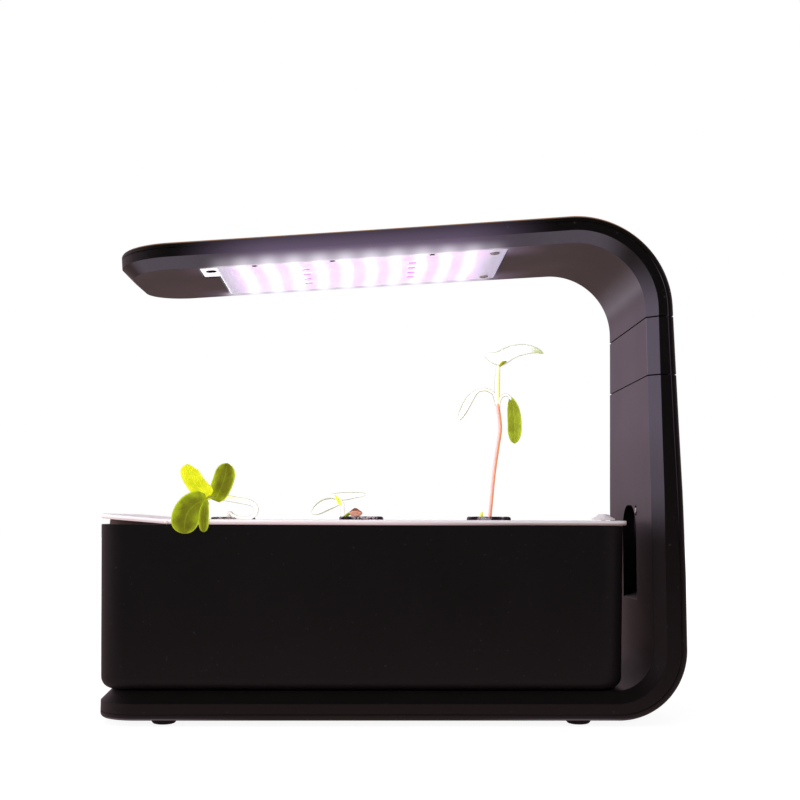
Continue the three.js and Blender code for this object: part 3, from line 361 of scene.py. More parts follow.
def makeBoardWhite():
    finish = Finish("led_board")
    x, y = finish.axis("X"), finish.axis("Y")
    bow = y * y * 0.0012 - finish.noise(30, 1.0) * 3
    row = ((x + bow + 0.8 - rows["first"]) * (2 * math.pi / rows["pitch"])).cosine() * 0.5 + 0.5
    end = rows["first"] - (rows["count"] - 1) * rows["pitch"]
    within = x.between(end - 13, end - 1) * x.between(rows["first"] + 14, rows["first"] + 4)
    tint = finish.noise(16, 1.0).between(0.35, 0.65)
    tracks = (y * 1.1 + finish.noise(7, 1.0) * 3).cosine().between(0.86, 0.93)
    weave = finish.noise(0.5, 2.0)
    base = finish.mix(weave, rgb(0.72, 0.7, 0.72), rgb(0.8, 0.78, 0.8))
    base = finish.mix(tracks * 0.3, base, rgb(0.62, 0.58, 0.64))
    between = finish.mix(tint, boardLight["between"], rgb(0.56, 0.44, 0.7))
    glow = finish.mix(row ** 2.0, between, boardLight["row"])
    glow = finish.mix(within, boardLight["dim"], glow)
    glow = finish.mix(x.between(boardLight["end"], boardLight["end"] - 0.6), glow, rgb(0.7, 0.68, 0.72))
    return finish.surface(Base_Color=base, Roughness=0.34 + weave * 0.1,
                          Normal=finish.bump(tracks + weave * 0.4, 0.03), Emission_Color=glow,
                          Emission_Strength=1.0)


def makeLens(name, colour, strength, phosphor):
    finish = Finish(name)
    grain = finish.noise(0.5, 2.0)
    glow = finish.mix(grain, shaded(colour, 0.9), colour)
    base = finish.mix(grain, shaded(phosphor, 0.85), phosphor)
    return finish.surface(Base_Color=base, Roughness=0.3 + grain * 0.1, Emission_Color=glow,
                          Emission_Strength=strength)


rubberFinish = makeRubber()
wireFinish = makeWire()
steelFinish = makeSteel()
whiteFinish = makeWhite()
circuitFinish = makeCircuit()
floatFinish = makeFloatFoam()
growFinish = makeGrowFoam()
boardFinish = makeBoardWhite()
lensFinish = makeLens("lamp_lens", rgb(1.0, 0.95, 1.0), 1.6, rgb(0.85, 0.8, 0.45))
violetFinish = makeLens("violet_lens", rgb(0.55, 0.12, 0.8), 0.9, rgb(0.4, 0.12, 0.55))


# Leaves have their own map: the way along the blade and the way across it. The grow lamps' light through them is
# painted in as a glow.
def makeLeaf(name, dark, bright, margin, veinPairs, glow, blotches=0.7, relief=0.22, veining=0.6,
             centreShade=0.45, rim=0.84, tips=None):
    finish = Finish(name)
    own = finish.node("ShaderNodeTexCoord", {}, {}, "UV")
    along = finish.part(own, "X")
    across = finish.part(own, "Y")
    off = abs(across - 0.5) * 2
    wobble = finish.noise(3.5, 3.0)
    midrib = off.between(0.1, 0.02)
    branches = ((along - off * 0.28) * (2 * math.pi * veinPairs) + wobble * 1.6).cosine().between(0.9, 0.99)
    branches = branches * off.between(0.97, 0.8)
    net = finish.cells(1.15, "DISTANCE_TO_EDGE").between(0.07, 0.0)
    blotch = finish.noise(6.5, 4.0, 0.55)
    # painted shade: the leaf is darker in its middle towards the base
    middle = off.between(0.95, 0.3) * along.between(0.0, 0.3)
    shade = (blotch.between(0.32, 0.68) * blotches + (1 - blotches)) * (1 - middle * centreShade)
    base = finish.mix(shade, dark, bright)
    veins = (midrib * 0.7 + branches * 0.4 + net * 0.12) * veining
    base = finish.mix(veins, base, [min(1, c * 1.3) for c in bright[:3]] + [1])
    # the margin: the green leaves' own lighter edge; on the pale leaves a dark margin is painted shade along the edge
    base = finish.mix(off.between(rim, (rim + 2) / 3) * 0.85, base, margin)
    if tips:
        base = finish.mix(along.between(0.72, 0.95) * (0.5 + blotch * 0.5), base, tips)
    height = blotch * 0.6 - midrib * 0.9 - branches * 0.6 - net * 0.25
    return finish.surface(Base_Color=base, Roughness=0.42 + blotch * 0.16, Normal=finish.bump(height, relief),
                          Subsurface_Weight=0.2, Subsurface_Radius=(0.0012, 0.0016, 0.0005), Subsurface_Scale=1.0,
                          Specular_IOR_Level=0.25, Emission_Color=base, Emission_Strength=glow)


# Stems glow with painted light from the grow lamps.
def makeStem(name, left, right, upLeft, upRight, zLow, zHigh, glow, edge=0.0, streaked=0.25, shadeFacing=0.6):
    finish = Finish(name)
    z = finish.axis("Z")
    streak = finish.noise(1.2, 3.0, 0.6, (1.0, 1.0, 0.08))
    aside = finish.facing("X").between(-0.6, 0.7)
    sideShade = abs(finish.facing("Y")).between(shadeFacing, shadeFacing - 0.3) * edge
    # painted light: the side facing left gets its own lighter colour, as the lamps' light falls from the left, over
    # the stem's own colour, which also changes with height
    base = finish.mix(z.between(zLow, zHigh), finish.mix(aside, left, right), finish.mix(aside, upLeft, upRight))
    base = finish.mix(streak * streaked, base, shaded(right, 0.6))
    base = finish.mix(sideShade, base, rgb(0.2, 0.16, 0.09))  # painted shade: the stem darker along its outline as seen from the front
    return finish.surface(Base_Color=base, Roughness=0.42 + streak * 0.12, Normal=finish.bump(streak, 0.06),
                          Subsurface_Weight=0.2, Subsurface_Radius=(0.0015, 0.001, 0.0005), Subsurface_Scale=1.0,
                          Specular_IOR_Level=0.25, Emission_Color=base, Emission_Strength=glow)


def makeHusk():
    finish = Finish("seed_husk")
    rib = finish.noise(0.9, 3.0, 0.6, (0.25, 1.0, 1.0))
    up = finish.facing("Z").between(0.15, 0.5)
    end = finish.facing("X").between(0.45, 0.8)
    base = finish.mix(rib.between(0.35, 0.65), rgb(0.6, 0.24, 0.15), rgb(0.82, 0.44, 0.32))
    base = finish.mix(up, finish.mix(end, base, rgb(0.5, 0.14, 0.04)), rgb(0.2, 0.06, 0.02))
    # the glow is painted light from the grow lamps
    return finish.surface(Base_Color=base, Roughness=0.55 + rib * 0.2, Normal=finish.bump(rib, 0.15),
                          Emission_Color=base, Emission_Strength=0.3)


brightLeaf = makeLeaf("leaf_bright", rgb(0.5, 0.56, 0.005), rgb(0.95, 0.95, 0.02), rgb(0.8, 0.78, 0.1), 7, 0.5,
                      veining=0.3, centreShade=0.25)
oliveLeaf = makeLeaf("leaf_olive", rgb(0.1, 0.085, 0.003), rgb(0.38, 0.46, 0.01), rgb(0.5, 0.6, 0.02), 7, 0.42,
                     veining=0.18, centreShade=0.72)
paleLeaf = makeLeaf("leaf_pale", rgb(0.86, 0.87, 0.7), rgb(0.9, 0.91, 0.84), rgb(0.26, 0.25, 0.16), 6, 0.62,
                    0.15, 0.05, veining=0.1, centreShade=0.05, rim=0.68)
greenLeaf = makeLeaf("leaf_green", rgb(0.2, 0.22, 0.015), rgb(0.36, 0.45, 0.02), rgb(0.5, 0.56, 0.03), 8, 0.45)
paleStem = makeStem("stem_pale", rgb(0.93, 0.92, 0.88), rgb(0.92, 0.91, 0.84), rgb(0.93, 0.93, 0.8),
                    rgb(0.88, 0.88, 0.4), 113, 115.5, 0.6, 0.85)
rosyStem = makeStem("stem_rosy", rgb(0.95, 0.52, 0.5), rgb(0.85, 0.3, 0.1), rgb(0.9, 0.9, 0.75),
                    rgb(0.95, 0.93, 0.25), 166, 173, 0.5)
greenStem = makeStem("stem_green", rgb(0.3, 0.36, 0.01), rgb(0.2, 0.26, 0.01), rgb(0.4, 0.42, 0.02),
                     rgb(0.3, 0.33, 0.02), 105, 115, 0.3)
tipStem = makeStem("stem_tip", rgb(0.93, 0.93, 0.88), rgb(0.95, 0.93, 0.24), rgb(0.93, 0.93, 0.88),
                   rgb(0.95, 0.93, 0.24), 160, 170, 0.6, 0.8, 0.06, 0.72)
petioleStem = makeStem("stem_petiole", rgb(0.93, 0.9, 0.84), rgb(0.93, 0.88, 0.66), rgb(0.93, 0.91, 0.85),
                       rgb(0.93, 0.9, 0.75), 160, 170, 0.6, 0.75, 0.06, 0.88)
budFinish = makeStem("bud", rgb(0.66, 0.74, 0.03), rgb(0.5, 0.36, 0.06), rgb(0.8, 0.93, 0.06),
                     rgb(0.75, 0.85, 0.05), 100, 110, 0.5, 0.0, 0.12)
tipLeaf = makeLeaf("leaf_tip", rgb(0.9, 0.91, 0.82), rgb(0.93, 0.94, 0.88), rgb(0.42, 0.42, 0.32), 6, 0.62,
                   0.15, 0.05, veining=0.1, centreShade=0.05, rim=0.74, tips=rgb(0.3, 0.36, 0.04))
huskFinish = makeHusk()
print("finishes made")


# Modelling steps
def activate(piece):
    bpy.ops.object.select_all(action="DESELECT")
    piece.select_set(True)
    bpy.context.view_layer.objects.active = piece
    return piece


def named(name, finish):
    piece = bpy.context.active_object
    piece.name = name
    piece.data.name = name
    bpy.ops.object.transform_apply(location=True, rotation=True, scale=True)
    piece.data.materials.clear()
    piece.data.materials.append(finish)
    return piece


def block(name, low, high, finish):  # a cuboid between two corners, in mm
    bpy.ops.object.select_all(action="DESELECT")
    middle = [(a + b) / 2 * mm for a, b in zip(low, high)]
    size = [(b - a) * mm for a, b in zip(low, high)]
    bpy.ops.mesh.primitive_cube_add(size=1, location=middle, scale=size)
    return named(name, finish)


def rod(name, radius, low, high, finish, axis="Z", sides=48):  # a cylinder from its middle points, in mm
    bpy.ops.object.select_all(action="DESELECT")
    middle = [(a + b) / 2 * mm for a, b in zip(low, high)]
    depth = (Vector(high) - Vector(low)).length * mm
    turns = {"X": (0, math.pi / 2, 0), "Y": (math.pi / 2, 0, 0), "Z": (0, 0, 0)}
    bpy.ops.mesh.primitive_cylinder_add(vertices=sides, radius=radius * mm, depth=depth, location=middle,
                                        rotation=turns[axis])
    return named(name, finish)


def spun(name, profile, finish, centre=(0, 0), steps=64, merge=0.01):
    # A point, drawn out along a profile of (radius, height) in mm and spun about a vertical line
    bpy.ops.object.select_all(action="DESELECT")
    x, y = centre[0] * mm, centre[1] * mm
    bpy.ops.mesh.primitive_plane_add(size=mm, location=(x + profile[0][0] * mm, y, profile[0][1] * mm))
    piece = named(name, finish)
    bpy.ops.object.mode_set(mode="EDIT")
    bpy.ops.mesh.select_mode(type="VERT")
    bpy.ops.mesh.select_all(action="SELECT")
    bpy.ops.mesh.merge(type="CENTER")
    for (r0, z0), (r1, z1) in zip(profile, profile[1:]):
        step = {"value": ((r1 - r0) * mm, 0, (z1 - z0) * mm)}
        bpy.ops.mesh.extrude_vertices_move(TRANSFORM_OT_translate=step)
    bpy.ops.mesh.select_all(action="SELECT")
    bpy.ops.mesh.spin(steps=steps, angle=2 * math.pi, center=(x, y, 0), axis=(0, 0, 1))
    bpy.ops.mesh.select_all(action="SELECT")
    bpy.ops.mesh.remove_doubles(threshold=merge * mm)
    bpy.ops.mesh.normals_make_consistent(inside=False)
    bpy.ops.object.mode_set(mode="OBJECT")
    return piece


def pick(piece, kind, test):  # select edges by their two ends, or faces by centre and normal, in mm
    activate(piece)
    bpy.ops.object.mode_set(mode="EDIT")
    bpy.ops.mesh.select_mode(type=kind)
    bpy.ops.mesh.select_all(action="DESELECT")
    shape = bmesh.from_edit_mesh(piece.data)
    if kind == "EDGE":
        for edge in shape.edges:
            edge.select_set(test(edge.verts[0].co / mm, edge.verts[1].co / mm))
    else:
        for face in shape.faces:
            face.select_set(test(face.calc_center_median() / mm, face.normal))
    shape.select_flush_mode()
    bmesh.update_edit_mesh(piece.data)


def bevelEdges(piece, test, width, segments):
    pick(piece, "EDGE", test)
    bpy.ops.mesh.bevel(offset=width * mm, segments=segments, affect="EDGES")
    bpy.ops.object.mode_set(mode="OBJECT")
    return piece


def upright(a, b):
    return abs(a.z - b.z) > 1


def dropFaces(piece, test):
    pick(piece, "FACE", test)
    bpy.ops.mesh.delete(type="FACE")
    bpy.ops.object.mode_set(mode="OBJECT")
    return piece


def secondFinish(piece):  # for the faces that are picked
    piece.active_material_index = 1
    bpy.ops.object.material_slot_assign()
    bpy.ops.object.mode_set(mode="OBJECT")
    return piece


def sliced(piece, places):  # cut through a bar at places along X
    activate(piece)
    bpy.ops.object.mode_set(mode="EDIT")
    for place in places:
        bpy.ops.mesh.select_all(action="SELECT")
        bpy.ops.mesh.bisect(plane_co=(place * mm, 0, 0), plane_no=(1, 0, 0))
    bpy.ops.object.mode_set(mode="OBJECT")
    return piece


def modified(piece, kind, **settings):
    activate(piece)
    bpy.ops.object.modifier_add(type=kind)
    step = piece.modifiers[-1]
    for key, value in settings.items():
        setattr(step, key, value)
    bpy.ops.object.modifier_apply(modifier=step.name)
    return piece


def carved(piece, *cutters, operation="DIFFERENCE"):
    for cutter in cutters:
        modified(piece, "BOOLEAN", operation=operation, object=cutter, solver="EXACT")
        bpy.data.objects.remove(cutter)
    return piece


def fused(piece, *others):
    return carved(piece, *others, operation="UNION")


def softened(piece, width, segments=2, angle=32):
    return modified(piece, "BEVEL", width=width * mm, segments=segments, limit_method="ANGLE",
                    angle_limit=math.radians(angle), miter_outer="MITER_ARC", use_clamp_overlap=True)


def smooth(piece, angle=30):
    activate(piece)
    bpy.ops.object.shade_smooth_by_angle(angle=math.radians(angle))
    return piece


def joined(name, pieces):
    bpy.ops.object.select_all(action="DESELECT")
    for piece in pieces:
        piece.select_set(True)
    bpy.context.view_layer.objects.active = pieces[0]
    bpy.ops.object.join()
    pieces[0].name = name
    pieces[0].data.name = name
    return pieces[0]


def placed(piece, matrix):
    piece.matrix_world = matrix @ piece.matrix_world
    activate(piece)
    bpy.ops.object.transform_apply(location=True, rotation=True, scale=True)
    return piece


def settled(piece, body, slot, *nodes):
    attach(piece, body)
    if nodes:
        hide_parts(*nodes)
    return piece


def corners(node):
    return [Vector(corner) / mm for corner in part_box(node)]


def middleOf(node):
    low, high = corners(node)
    return (low.x + high.x) / 2, (low.y + high.y) / 2


# The band that the stand, the extension and the arm follow, in mm. A point of it is given by s, the way along
# its inner face from the stand's left end, by w, the distance from its middle, and by t, the depth in it.
band = {"length": 300, "deckInset": 1.4, "standWidth": 120, "noseWidth": 97, "footHeight": 3, "deckThick": 14.2,
        "columnThick": 16.5, "armThick": 13.7, "deckBend": 20, "armBend": 36, "armBendHeight": 214.5,
        "armTilt": math.radians(4.2), "noseInset": 2.9, "taperHeight": 115, "thinHeight": 75, "taperPower": 2.6,
        "endRadius": 20, "noseRadius": 30, "chamfer": 5.7, "edgeRound": 2.3, "coverThick": 3.1, "seam": 0.22,
        "joint": 0.6, "lowSeam": 179.2, "extension": 31, "bendStep": 3.0, "straightStep": 9.0, "softEdge": 0.35}
innerX = band["length"] / 2 - band["columnThick"]
deckTop = band["footHeight"] + band["deckThick"]
deckLeft = band["deckInset"] - band["length"] / 2
deckRun = band["length"] - band["deckInset"] - band["columnThick"] - band["deckBend"]
columnStart = deckRun + band["deckBend"] * math.pi / 2
columnEnd = columnStart + band["armBendHeight"] - deckTop - band["deckBend"]
armTurn = math.pi / 2 + band["armTilt"]
armStart = columnEnd + band["armBend"] * armTurn
armX = innerX - band["armBend"] - band["armBend"] * math.sin(band["armTilt"])
noseEnd = armStart + (armX + band["length"] / 2 - band["noseInset"]) / math.cos(band["armTilt"])


def onColumn(height):
    return columnStart + height - deckTop - band["deckBend"]


def onArm(x):
    return armStart + (armX - x) / math.cos(band["armTilt"])


def onDeck(x):
    return x - deckLeft


def bandPoint(s, w, t):
    if s <= deckRun:
        return Vector((s + deckLeft, -w, deckTop - t))
    if s <= columnStart:
        turn = (s - deckRun) / band["deckBend"] - math.pi / 2
        reach = band["deckBend"] + t
        return Vector((innerX - band["deckBend"] + reach * math.cos(turn), -w,
                       deckTop + band["deckBend"] + reach * math.sin(turn)))
    if s <= columnEnd:
        return Vector((innerX + t, -w, deckTop + band["deckBend"] + s - columnStart))
    turn = min((s - columnEnd) / band["armBend"], armTurn)
    run = max(s - armStart, 0)
    reach = band["armBend"] + t
    return Vector((innerX - band["armBend"] + reach * math.cos(turn) - run * math.sin(turn), -w,
                   band["armBendHeight"] + reach * math.sin(turn) + run * math.cos(turn)))


def halfWidth(s):
    taperStart = onColumn(band["taperHeight"])
    share = min(max((s - taperStart) / (noseEnd - taperStart), 0), 1)
    return (band["noseWidth"] + (band["standWidth"] - band["noseWidth"]) * (1 - share) ** band["taperPower"]) / 2


def thickness(s):
    if s <= columnStart:
        share = max(s - deckRun, 0) / (columnStart - deckRun)
        return band["deckThick"] + (band["columnThick"] - band["deckThick"]) * share
    thinStart = onColumn(band["thinHeight"])
    share = min(max((s - thinStart) / (columnEnd - thinStart), 0), 1)
    return band["columnThick"] + (band["armThick"] - band["columnThick"]) * share


def stationsBetween(start, end):
    places = []
    for low, high, step in [(0, deckRun, 40), (deckRun, columnStart, band["bendStep"] / 3),
                            (columnStart, onColumn(band["thinHeight"]), 40),
                            (onColumn(band["thinHeight"]), columnEnd, band["straightStep"]),
                            (columnEnd, armStart, band["bendStep"] / 2), (armStart, noseEnd, band["straightStep"])]:
        count = max(1, round((high - low) / step))
        places += [low + (high - low) * k / count for k in range(count + 1)]
    return sorted({round(place, 4) for place in places if start + 0.8 < place < end - 0.8})


def bentPiece(piece, half, deep):  # half and deep are the straight bar's half width and thickness
    inside, outside = half - 19, half - band["chamfer"] - 0.9
    for vertex in piece.data.vertices:
        s, w, t = vertex.co / mm
        aside = min(max((abs(w) - inside) / (outside - inside), 0), 1)
        behind = min(max((t - 6.2) / (deep - band["coverThick"] - band["seam"] - 6.2), 0), 1)
        w += (halfWidth(s) - half) * aside * (1 if w > 0 else -1)
        t += (thickness(s) - deep) * behind
        vertex.co = bandPoint(s, w, t) * mm
    piece.data.update()
    return piece


# Stand, extension and arm
def bar(name, s0, s1, half, t0, t1, finish):
    return block(name, (s0, -half, t0), (s1, half, t1), finish)


def roundedEnd(piece, end, radius, segments=14):
    return bevelEdges(piece, lambda a, b: abs(a.x - end) < 0.01 and abs(b.x - end) < 0.01 and abs(a.y - b.y) < 0.01,
                      radius, segments)


def rimBevel(piece, width, level, segments, cutEnds):  # the ends that meet another piece stay sharp
    def chosen(a, b):
        atEnd = any(abs(a.x - end) < 0.01 and abs(b.x - end) < 0.01 for end in cutEnds)
        return abs(a.z - level) < 0.01 and abs(b.z - level) < 0.01 and not atEnd
    return bevelEdges(piece, chosen, width, segments)


def innerChamfer(piece, width, *cutEnds):
    return rimBevel(piece, width, 0, 1, cutEnds)


def outerRounding(piece, width, top, *cutEnds):
    return rimBevel(piece, width, top, 4, cutEnds)


def cutterPost(radius, s, w, t0, t1, sides=32):
    return rod("cutter", radius, (s, w, t0), (s, w, t1), housingFinish, sides=sides)


def finishedBar(piece, s0, s1, half, deep):
    softened(piece, band["softEdge"])
    sliced(piece, stationsBetween(s0, s1))
    bentPiece(piece, half, deep)
    return modified(smooth(piece, 24), "WEIGHTED_NORMAL", keep_sharp=True)  # keeps flats even around a hole


spigotShape = {"width": 52, "reach": 12, "clear": 0.3, "wall": 2.2, "extra": 1.0}
extensionScrew = {"along": 7, "side": 17, "head": 3.0}
standTop = onColumn(band["lowSeam"]) - band["joint"] / 2
extensionLow = onColumn(band["lowSeam"]) + band["joint"] / 2
extensionHigh = onColumn(band["lowSeam"] + band["extension"]) - band["joint"] / 2
armLow = onColumn(band["lowSeam"] + band["extension"]) + band["joint"] / 2

standShape = {"half": 60, "deep": 16.5, "recessHalf": 17.5, "recessLow": 65, "recessHigh": 112,
              "recessCorner": 14, "recessDepth": 6.5, "recessSlope": 4.4, "screwX": (-80, 62), "screwSide": 38,
              "screwHole": 3.0, "footX": (-115.4, 96), "footInset": 13.5, "footHole": 6.6, "footSocket": 0.8,
              "jackHeight": 52, "jackSide": -26, "jackHole": 4.35, "dimpleHeight": 108.8, "dimpleSide": 17.5,
              "dimple": 2.9, "dimpleDepth": 1.0}


def spigotCutter(low, high, deep):
    half = spigotShape["width"] / 2 + spigotShape["clear"]
    return block("cutter", (low, -half, spigotShape["wall"]), (high, half, deep + 1), housingFinish)


def makeStandShell():
    half, deep = standShape["half"], standShape["deep"]
    shell = bar("stand_housing", 0, standTop, half, 0, deep - band["coverThick"] - band["seam"], housingFinish)
    roundedEnd(shell, 0, band["endRadius"])
    innerChamfer(shell, band["chamfer"], standTop)
    low, high = onColumn(standShape["recessLow"]), onColumn(standShape["recessHigh"])
    side, depth = standShape["recessHalf"], standShape["recessDepth"]
    recess = block("cutter", (low, -side, -2), (high, side, depth), housingFinish)
    roundedEnd(recess, high, standShape["recessCorner"], 12)
    sill = block("cutter", (low - 6, -side, -2), (low + 0.5, side, depth), housingFinish)
    pick(sill, "FACE", lambda centre, normal: normal.x < -0.9)
    bpy.ops.object.mode_set(mode="OBJECT")
    for vertex in sill.data.vertices:  # the sill slopes down to the column's face
        if vertex.co.x / mm < low - 1:
            share = (vertex.co.z / mm) / depth
            vertex.co.x = (low - standShape["recessSlope"] * (1 - share)) * mm
    carved(shell, recess, sill)
    carved(shell, cutterPost(standShape["dimple"], onColumn(standShape["dimpleHeight"]), standShape["dimpleSide"],
                             -2, standShape["dimpleDepth"]))
    reach = spigotShape["reach"] + spigotShape["extra"]
    carved(shell, spigotCutter(standTop - reach, standTop + 2, deep))
    return finishedBar(shell, 0, standTop, half, deep)


def makeStandCover():
    half, deep = standShape["half"], standShape["deep"]
    cover = bar("stand_back", 0, standTop, half, deep - band["coverThick"], deep, coverFinish)
    roundedEnd(cover, 0, band["endRadius"])
    outerRounding(cover, band["edgeRound"], deep, standTop)
    for x in standShape["screwX"]:
        for side in (-1, 1):
            carved(cover, cutterPost(standShape["screwHole"], onDeck(x), side * standShape["screwSide"], 10, 20))
    for x in standShape["footX"]:
        for side in (-1, 1):
            carved(cover, cutterPost(standShape["footHole"], onDeck(x), side * (half - standShape["footInset"]),
                                     deep - standShape["footSocket"], 20))
    carved(cover, cutterPost(standShape["jackHole"], onColumn(standShape["jackHeight"]), standShape["jackSide"],
                             5, 20))
    return finishedBar(cover, 0, standTop, half, deep)


extensionShape = {"half": 55.2, "deep": 15.2}


def makeExtensionShell():
    half, deep = extensionShape["half"], extensionShape["deep"]
    shell = bar("extension_housing", extensionLow, extensionHigh, half, 0,
                deep - band["coverThick"] - band["seam"], housingFinish)
    innerChamfer(shell, band["chamfer"], extensionLow, extensionHigh)
    carved(shell, spigotCutter(extensionLow - 2, extensionHigh + 2, deep))
    return finishedBar(shell, extensionLow, extensionHigh, half, deep)


def makeExtensionCover():
    half, deep = extensionShape["half"], extensionShape["deep"]
    cover = bar("extension_back", extensionLow, extensionHigh, half, deep - band["coverThick"], deep, coverFinish)
    outerRounding(cover, band["edgeRound"], deep, extensionLow, extensionHigh)
    for side in (-1, 1):
        carved(cover, cutterPost(extensionScrew["head"], onColumn(band["lowSeam"]) + extensionScrew["along"],
                                 side * extensionScrew["side"], 8, 20))
    return finishedBar(cover, extensionLow, extensionHigh, half, deep)


boardShape = {"right": 61.9, "length": 157, "width": 78, "thick": 1.6, "sink": 0.5, "tabLength": 8.5, "tabWidth": 24,
              "tabOverlap": 8, "margin": 0.6, "pocketDepth": 2.7, "corner": 1.6, "slotLength": 5.6,
              "slotWidth": 6.4, "slotInset": -3.4, "slotSide": 28.5, "slotRound": 0.48, "screwInset": 6.2,
              "screwFront": 30.4, "screwRear": -34, "screwHole": 1.6, "lamps": 6, "lampPitch": 13}
armShape = {"half": 48.5, "deep": 13.7, "spigotReach": 14}
boardStart = onArm(boardShape["right"])
boardEnd = boardStart + boardShape["length"]


def makeArmShell():
    half, deep = armShape["half"], armShape["deep"]
    shell = bar("lamp_housing", armLow, noseEnd, half, 0, deep - band["coverThick"] - band["seam"], housingFinish)
    roundedEnd(shell, noseEnd, band["noseRadius"], 20)
    innerChamfer(shell, band["chamfer"], armLow)
    side, margin = boardShape["width"] / 2, boardShape["margin"]
    pocket = block("cutter", (boardStart - margin, -side - margin, -2),
                   (boardEnd + margin, side + margin, boardShape["pocketDepth"]), housingFinish)
    bevelEdges(pocket, upright, boardShape["corner"] + margin, 5)
    tab = block("cutter", (boardEnd - boardShape["tabOverlap"], side - boardShape["tabWidth"] - margin, -2),
                (boardEnd + boardShape["tabLength"] + margin, side + margin, boardShape["pocketDepth"]),
                housingFinish)
    bevelEdges(tab, upright, boardShape["corner"] + margin, 5)
    carved(shell, pocket, tab)
    reach = armShape["spigotReach"] + spigotShape["extra"]
    carved(shell, spigotCutter(armLow - 2, armLow + reach, deep))
    return finishedBar(shell, armLow, noseEnd, half, deep)


def makeArmCover():
    half, deep = armShape["half"], armShape["deep"]
    cover = bar("lamp_back", armLow, noseEnd, half, deep - band["coverThick"], deep, coverFinish)
    roundedEnd(cover, noseEnd, band["noseRadius"], 20)
    outerRounding(cover, band["edgeRound"], deep, armLow)
    return finishedBar(cover, armLow, noseEnd, half, deep)


for make, body, node in ((makeStandShell, "stand", "stand_shell"), (makeStandCover, "stand", "stand_cover"),
                         (makeExtensionShell, "extension", "extension_shell"),
                         (makeExtensionCover, "extension", "extension_cover"),
                         (makeArmShell, "lamp", "arm_shell"), (makeArmCover, "lamp", "arm_cover")):
    settled(make(), body, "housing", node)
print("stand, extension and lamp arm made")


# Screws, with a crossed slot
screwShape = {"sides": 40, "cross": 0.55, "crossReach": 0.55, "crossWidth": 0.09, "edge": 0.035}


def panScrew(name, head, rise, shank, length):
    # its seat is at the origin and its head points up
    profile = [(0, -length), (shank * 0.55, -length), (shank, -length + shank), (shank, 0), (head, 0),
               (head, rise * 0.45), (head * 0.86, rise * 0.8), (head * 0.6, rise * 0.96), (0, rise)]
    screw = spun(name, profile, steelFinish, steps=screwShape["sides"])
    arm, wide, deep = head * screwShape["crossReach"], head * screwShape["crossWidth"], rise * screwShape["cross"]
    for across in ((arm, wide), (wide, arm)):
        cutter = block("cutter", (-across[0], -across[1], rise - deep), (across[0], across[1], rise + 1), steelFinish)
        carved(screw, cutter)
    return smooth(softened(screw, head * screwShape["edge"], 1), 34)


def onBand(s, w, t, outward):  # a frame on the band, its Z along the depth or against it
    here = bandPoint(s, w, t)
    along = (bandPoint(s + 0.01, w, t) - bandPoint(s - 0.01, w, t)).normalized()
    side = Vector((0, -1, 0))
    up = along.cross(side)
    if not outward:
        up, side = -up, -side
    turn = Matrix((along, side, up)).transposed().to_4x4()
    return Matrix.Translation(here * mm) @ turn


boardScrewTurn = {"led_screw_front": (boardShape["screwFront"], 0.5),
                  "led_screw_rear": (boardShape["screwRear"], 1.1)}
for node, (w, turn) in boardScrewTurn.items():
    screw = panScrew(node + "_head", 2.7, 0.95, 1.25, 3.0)
    placed(screw, Matrix.Rotation(turn, 4, "Z"))
    placed(screw, onBand(boardStart + boardShape["screwInset"], w, 0.62, False))
    settled(screw, "lamp", "screw", node)
screw = panScrew("column_screw_head", 1.9, 1.15, 1.1, 2.6)
placed(screw, onBand(onColumn(standShape["dimpleHeight"]), standShape["dimpleSide"], 0.6, False))
settled(screw, "stand", "screw", "column_screw")
print("screws made")


# LED board
def makeBoard():
    top, low = boardShape["sink"], boardShape["sink"] + boardShape["thick"]
    half = boardShape["width"] / 2
    board = bar("led_plate", boardStart, boardEnd, half, top, low, boardFinish)
    bevelEdges(board, upright, boardShape["corner"], 5)
    tab = block("cutter", (boardEnd - boardShape["tabOverlap"], half - boardShape["tabWidth"], top),
                (boardEnd + boardShape["tabLength"], half, low), boardFinish)
    bevelEdges(tab, lambda a, b: upright(a, b) and a.x > boardEnd, 1.2, 4)
    fused(board, tab)
    slotMiddle, slotSide = boardEnd - boardShape["slotInset"], boardShape["slotSide"]
    slot = block("cutter", (slotMiddle - boardShape["slotLength"] / 2, slotSide - boardShape["slotWidth"] / 2, -1),
                 (slotMiddle + boardShape["slotLength"] / 2, slotSide + boardShape["slotWidth"] / 2, 4), boardFinish)
    bevelEdges(slot, upright, boardShape["slotLength"] * boardShape["slotRound"], 6)
    carved(board, slot)
    board.data.materials.append(contactFinish)
    pick(board, "FACE", lambda centre, normal: abs(normal.z) < 0.5 and abs(centre.x - slotMiddle) < 3.5
         and abs(centre.y - slotSide) < 3.6)
    secondFinish(board)
    for w in (boardShape["screwFront"], boardShape["screwRear"]):
        carved(board, cutterPost(boardShape["screwHole"], boardStart + boardShape["screwInset"], w, -1, 5))
    softened(board, 0.15, 1)
    bentPiece(board, armShape["half"], armShape["deep"])
    return smooth(board)


chipShape = {"length": 3.5, "width": 2.8, "top": 0.05, "rim": 0.4, "sunk": 0.18, "corner": 0.3}


def makeChip(name, s, w, length, width, lens):
    chip = block(name, (s - length / 2, w - width / 2, chipShape["top"]), (s + length / 2, w + width / 2, 1.2),
                 boardFinish)
    chip.data.materials.append(lens)
    bevelEdges(chip, lambda a, b: abs(a.z - b.z) > 0.5, chipShape["corner"], 2)
    pick(chip, "FACE", lambda centre, normal: normal.z < -0.9)
    bpy.ops.mesh.inset(thickness=chipShape["rim"] * mm, depth=0)
    bpy.ops.mesh.extrude_region_move(TRANSFORM_OT_translate={"value": (0, 0, chipShape["sunk"] * mm)})
    return secondFinish(chip)


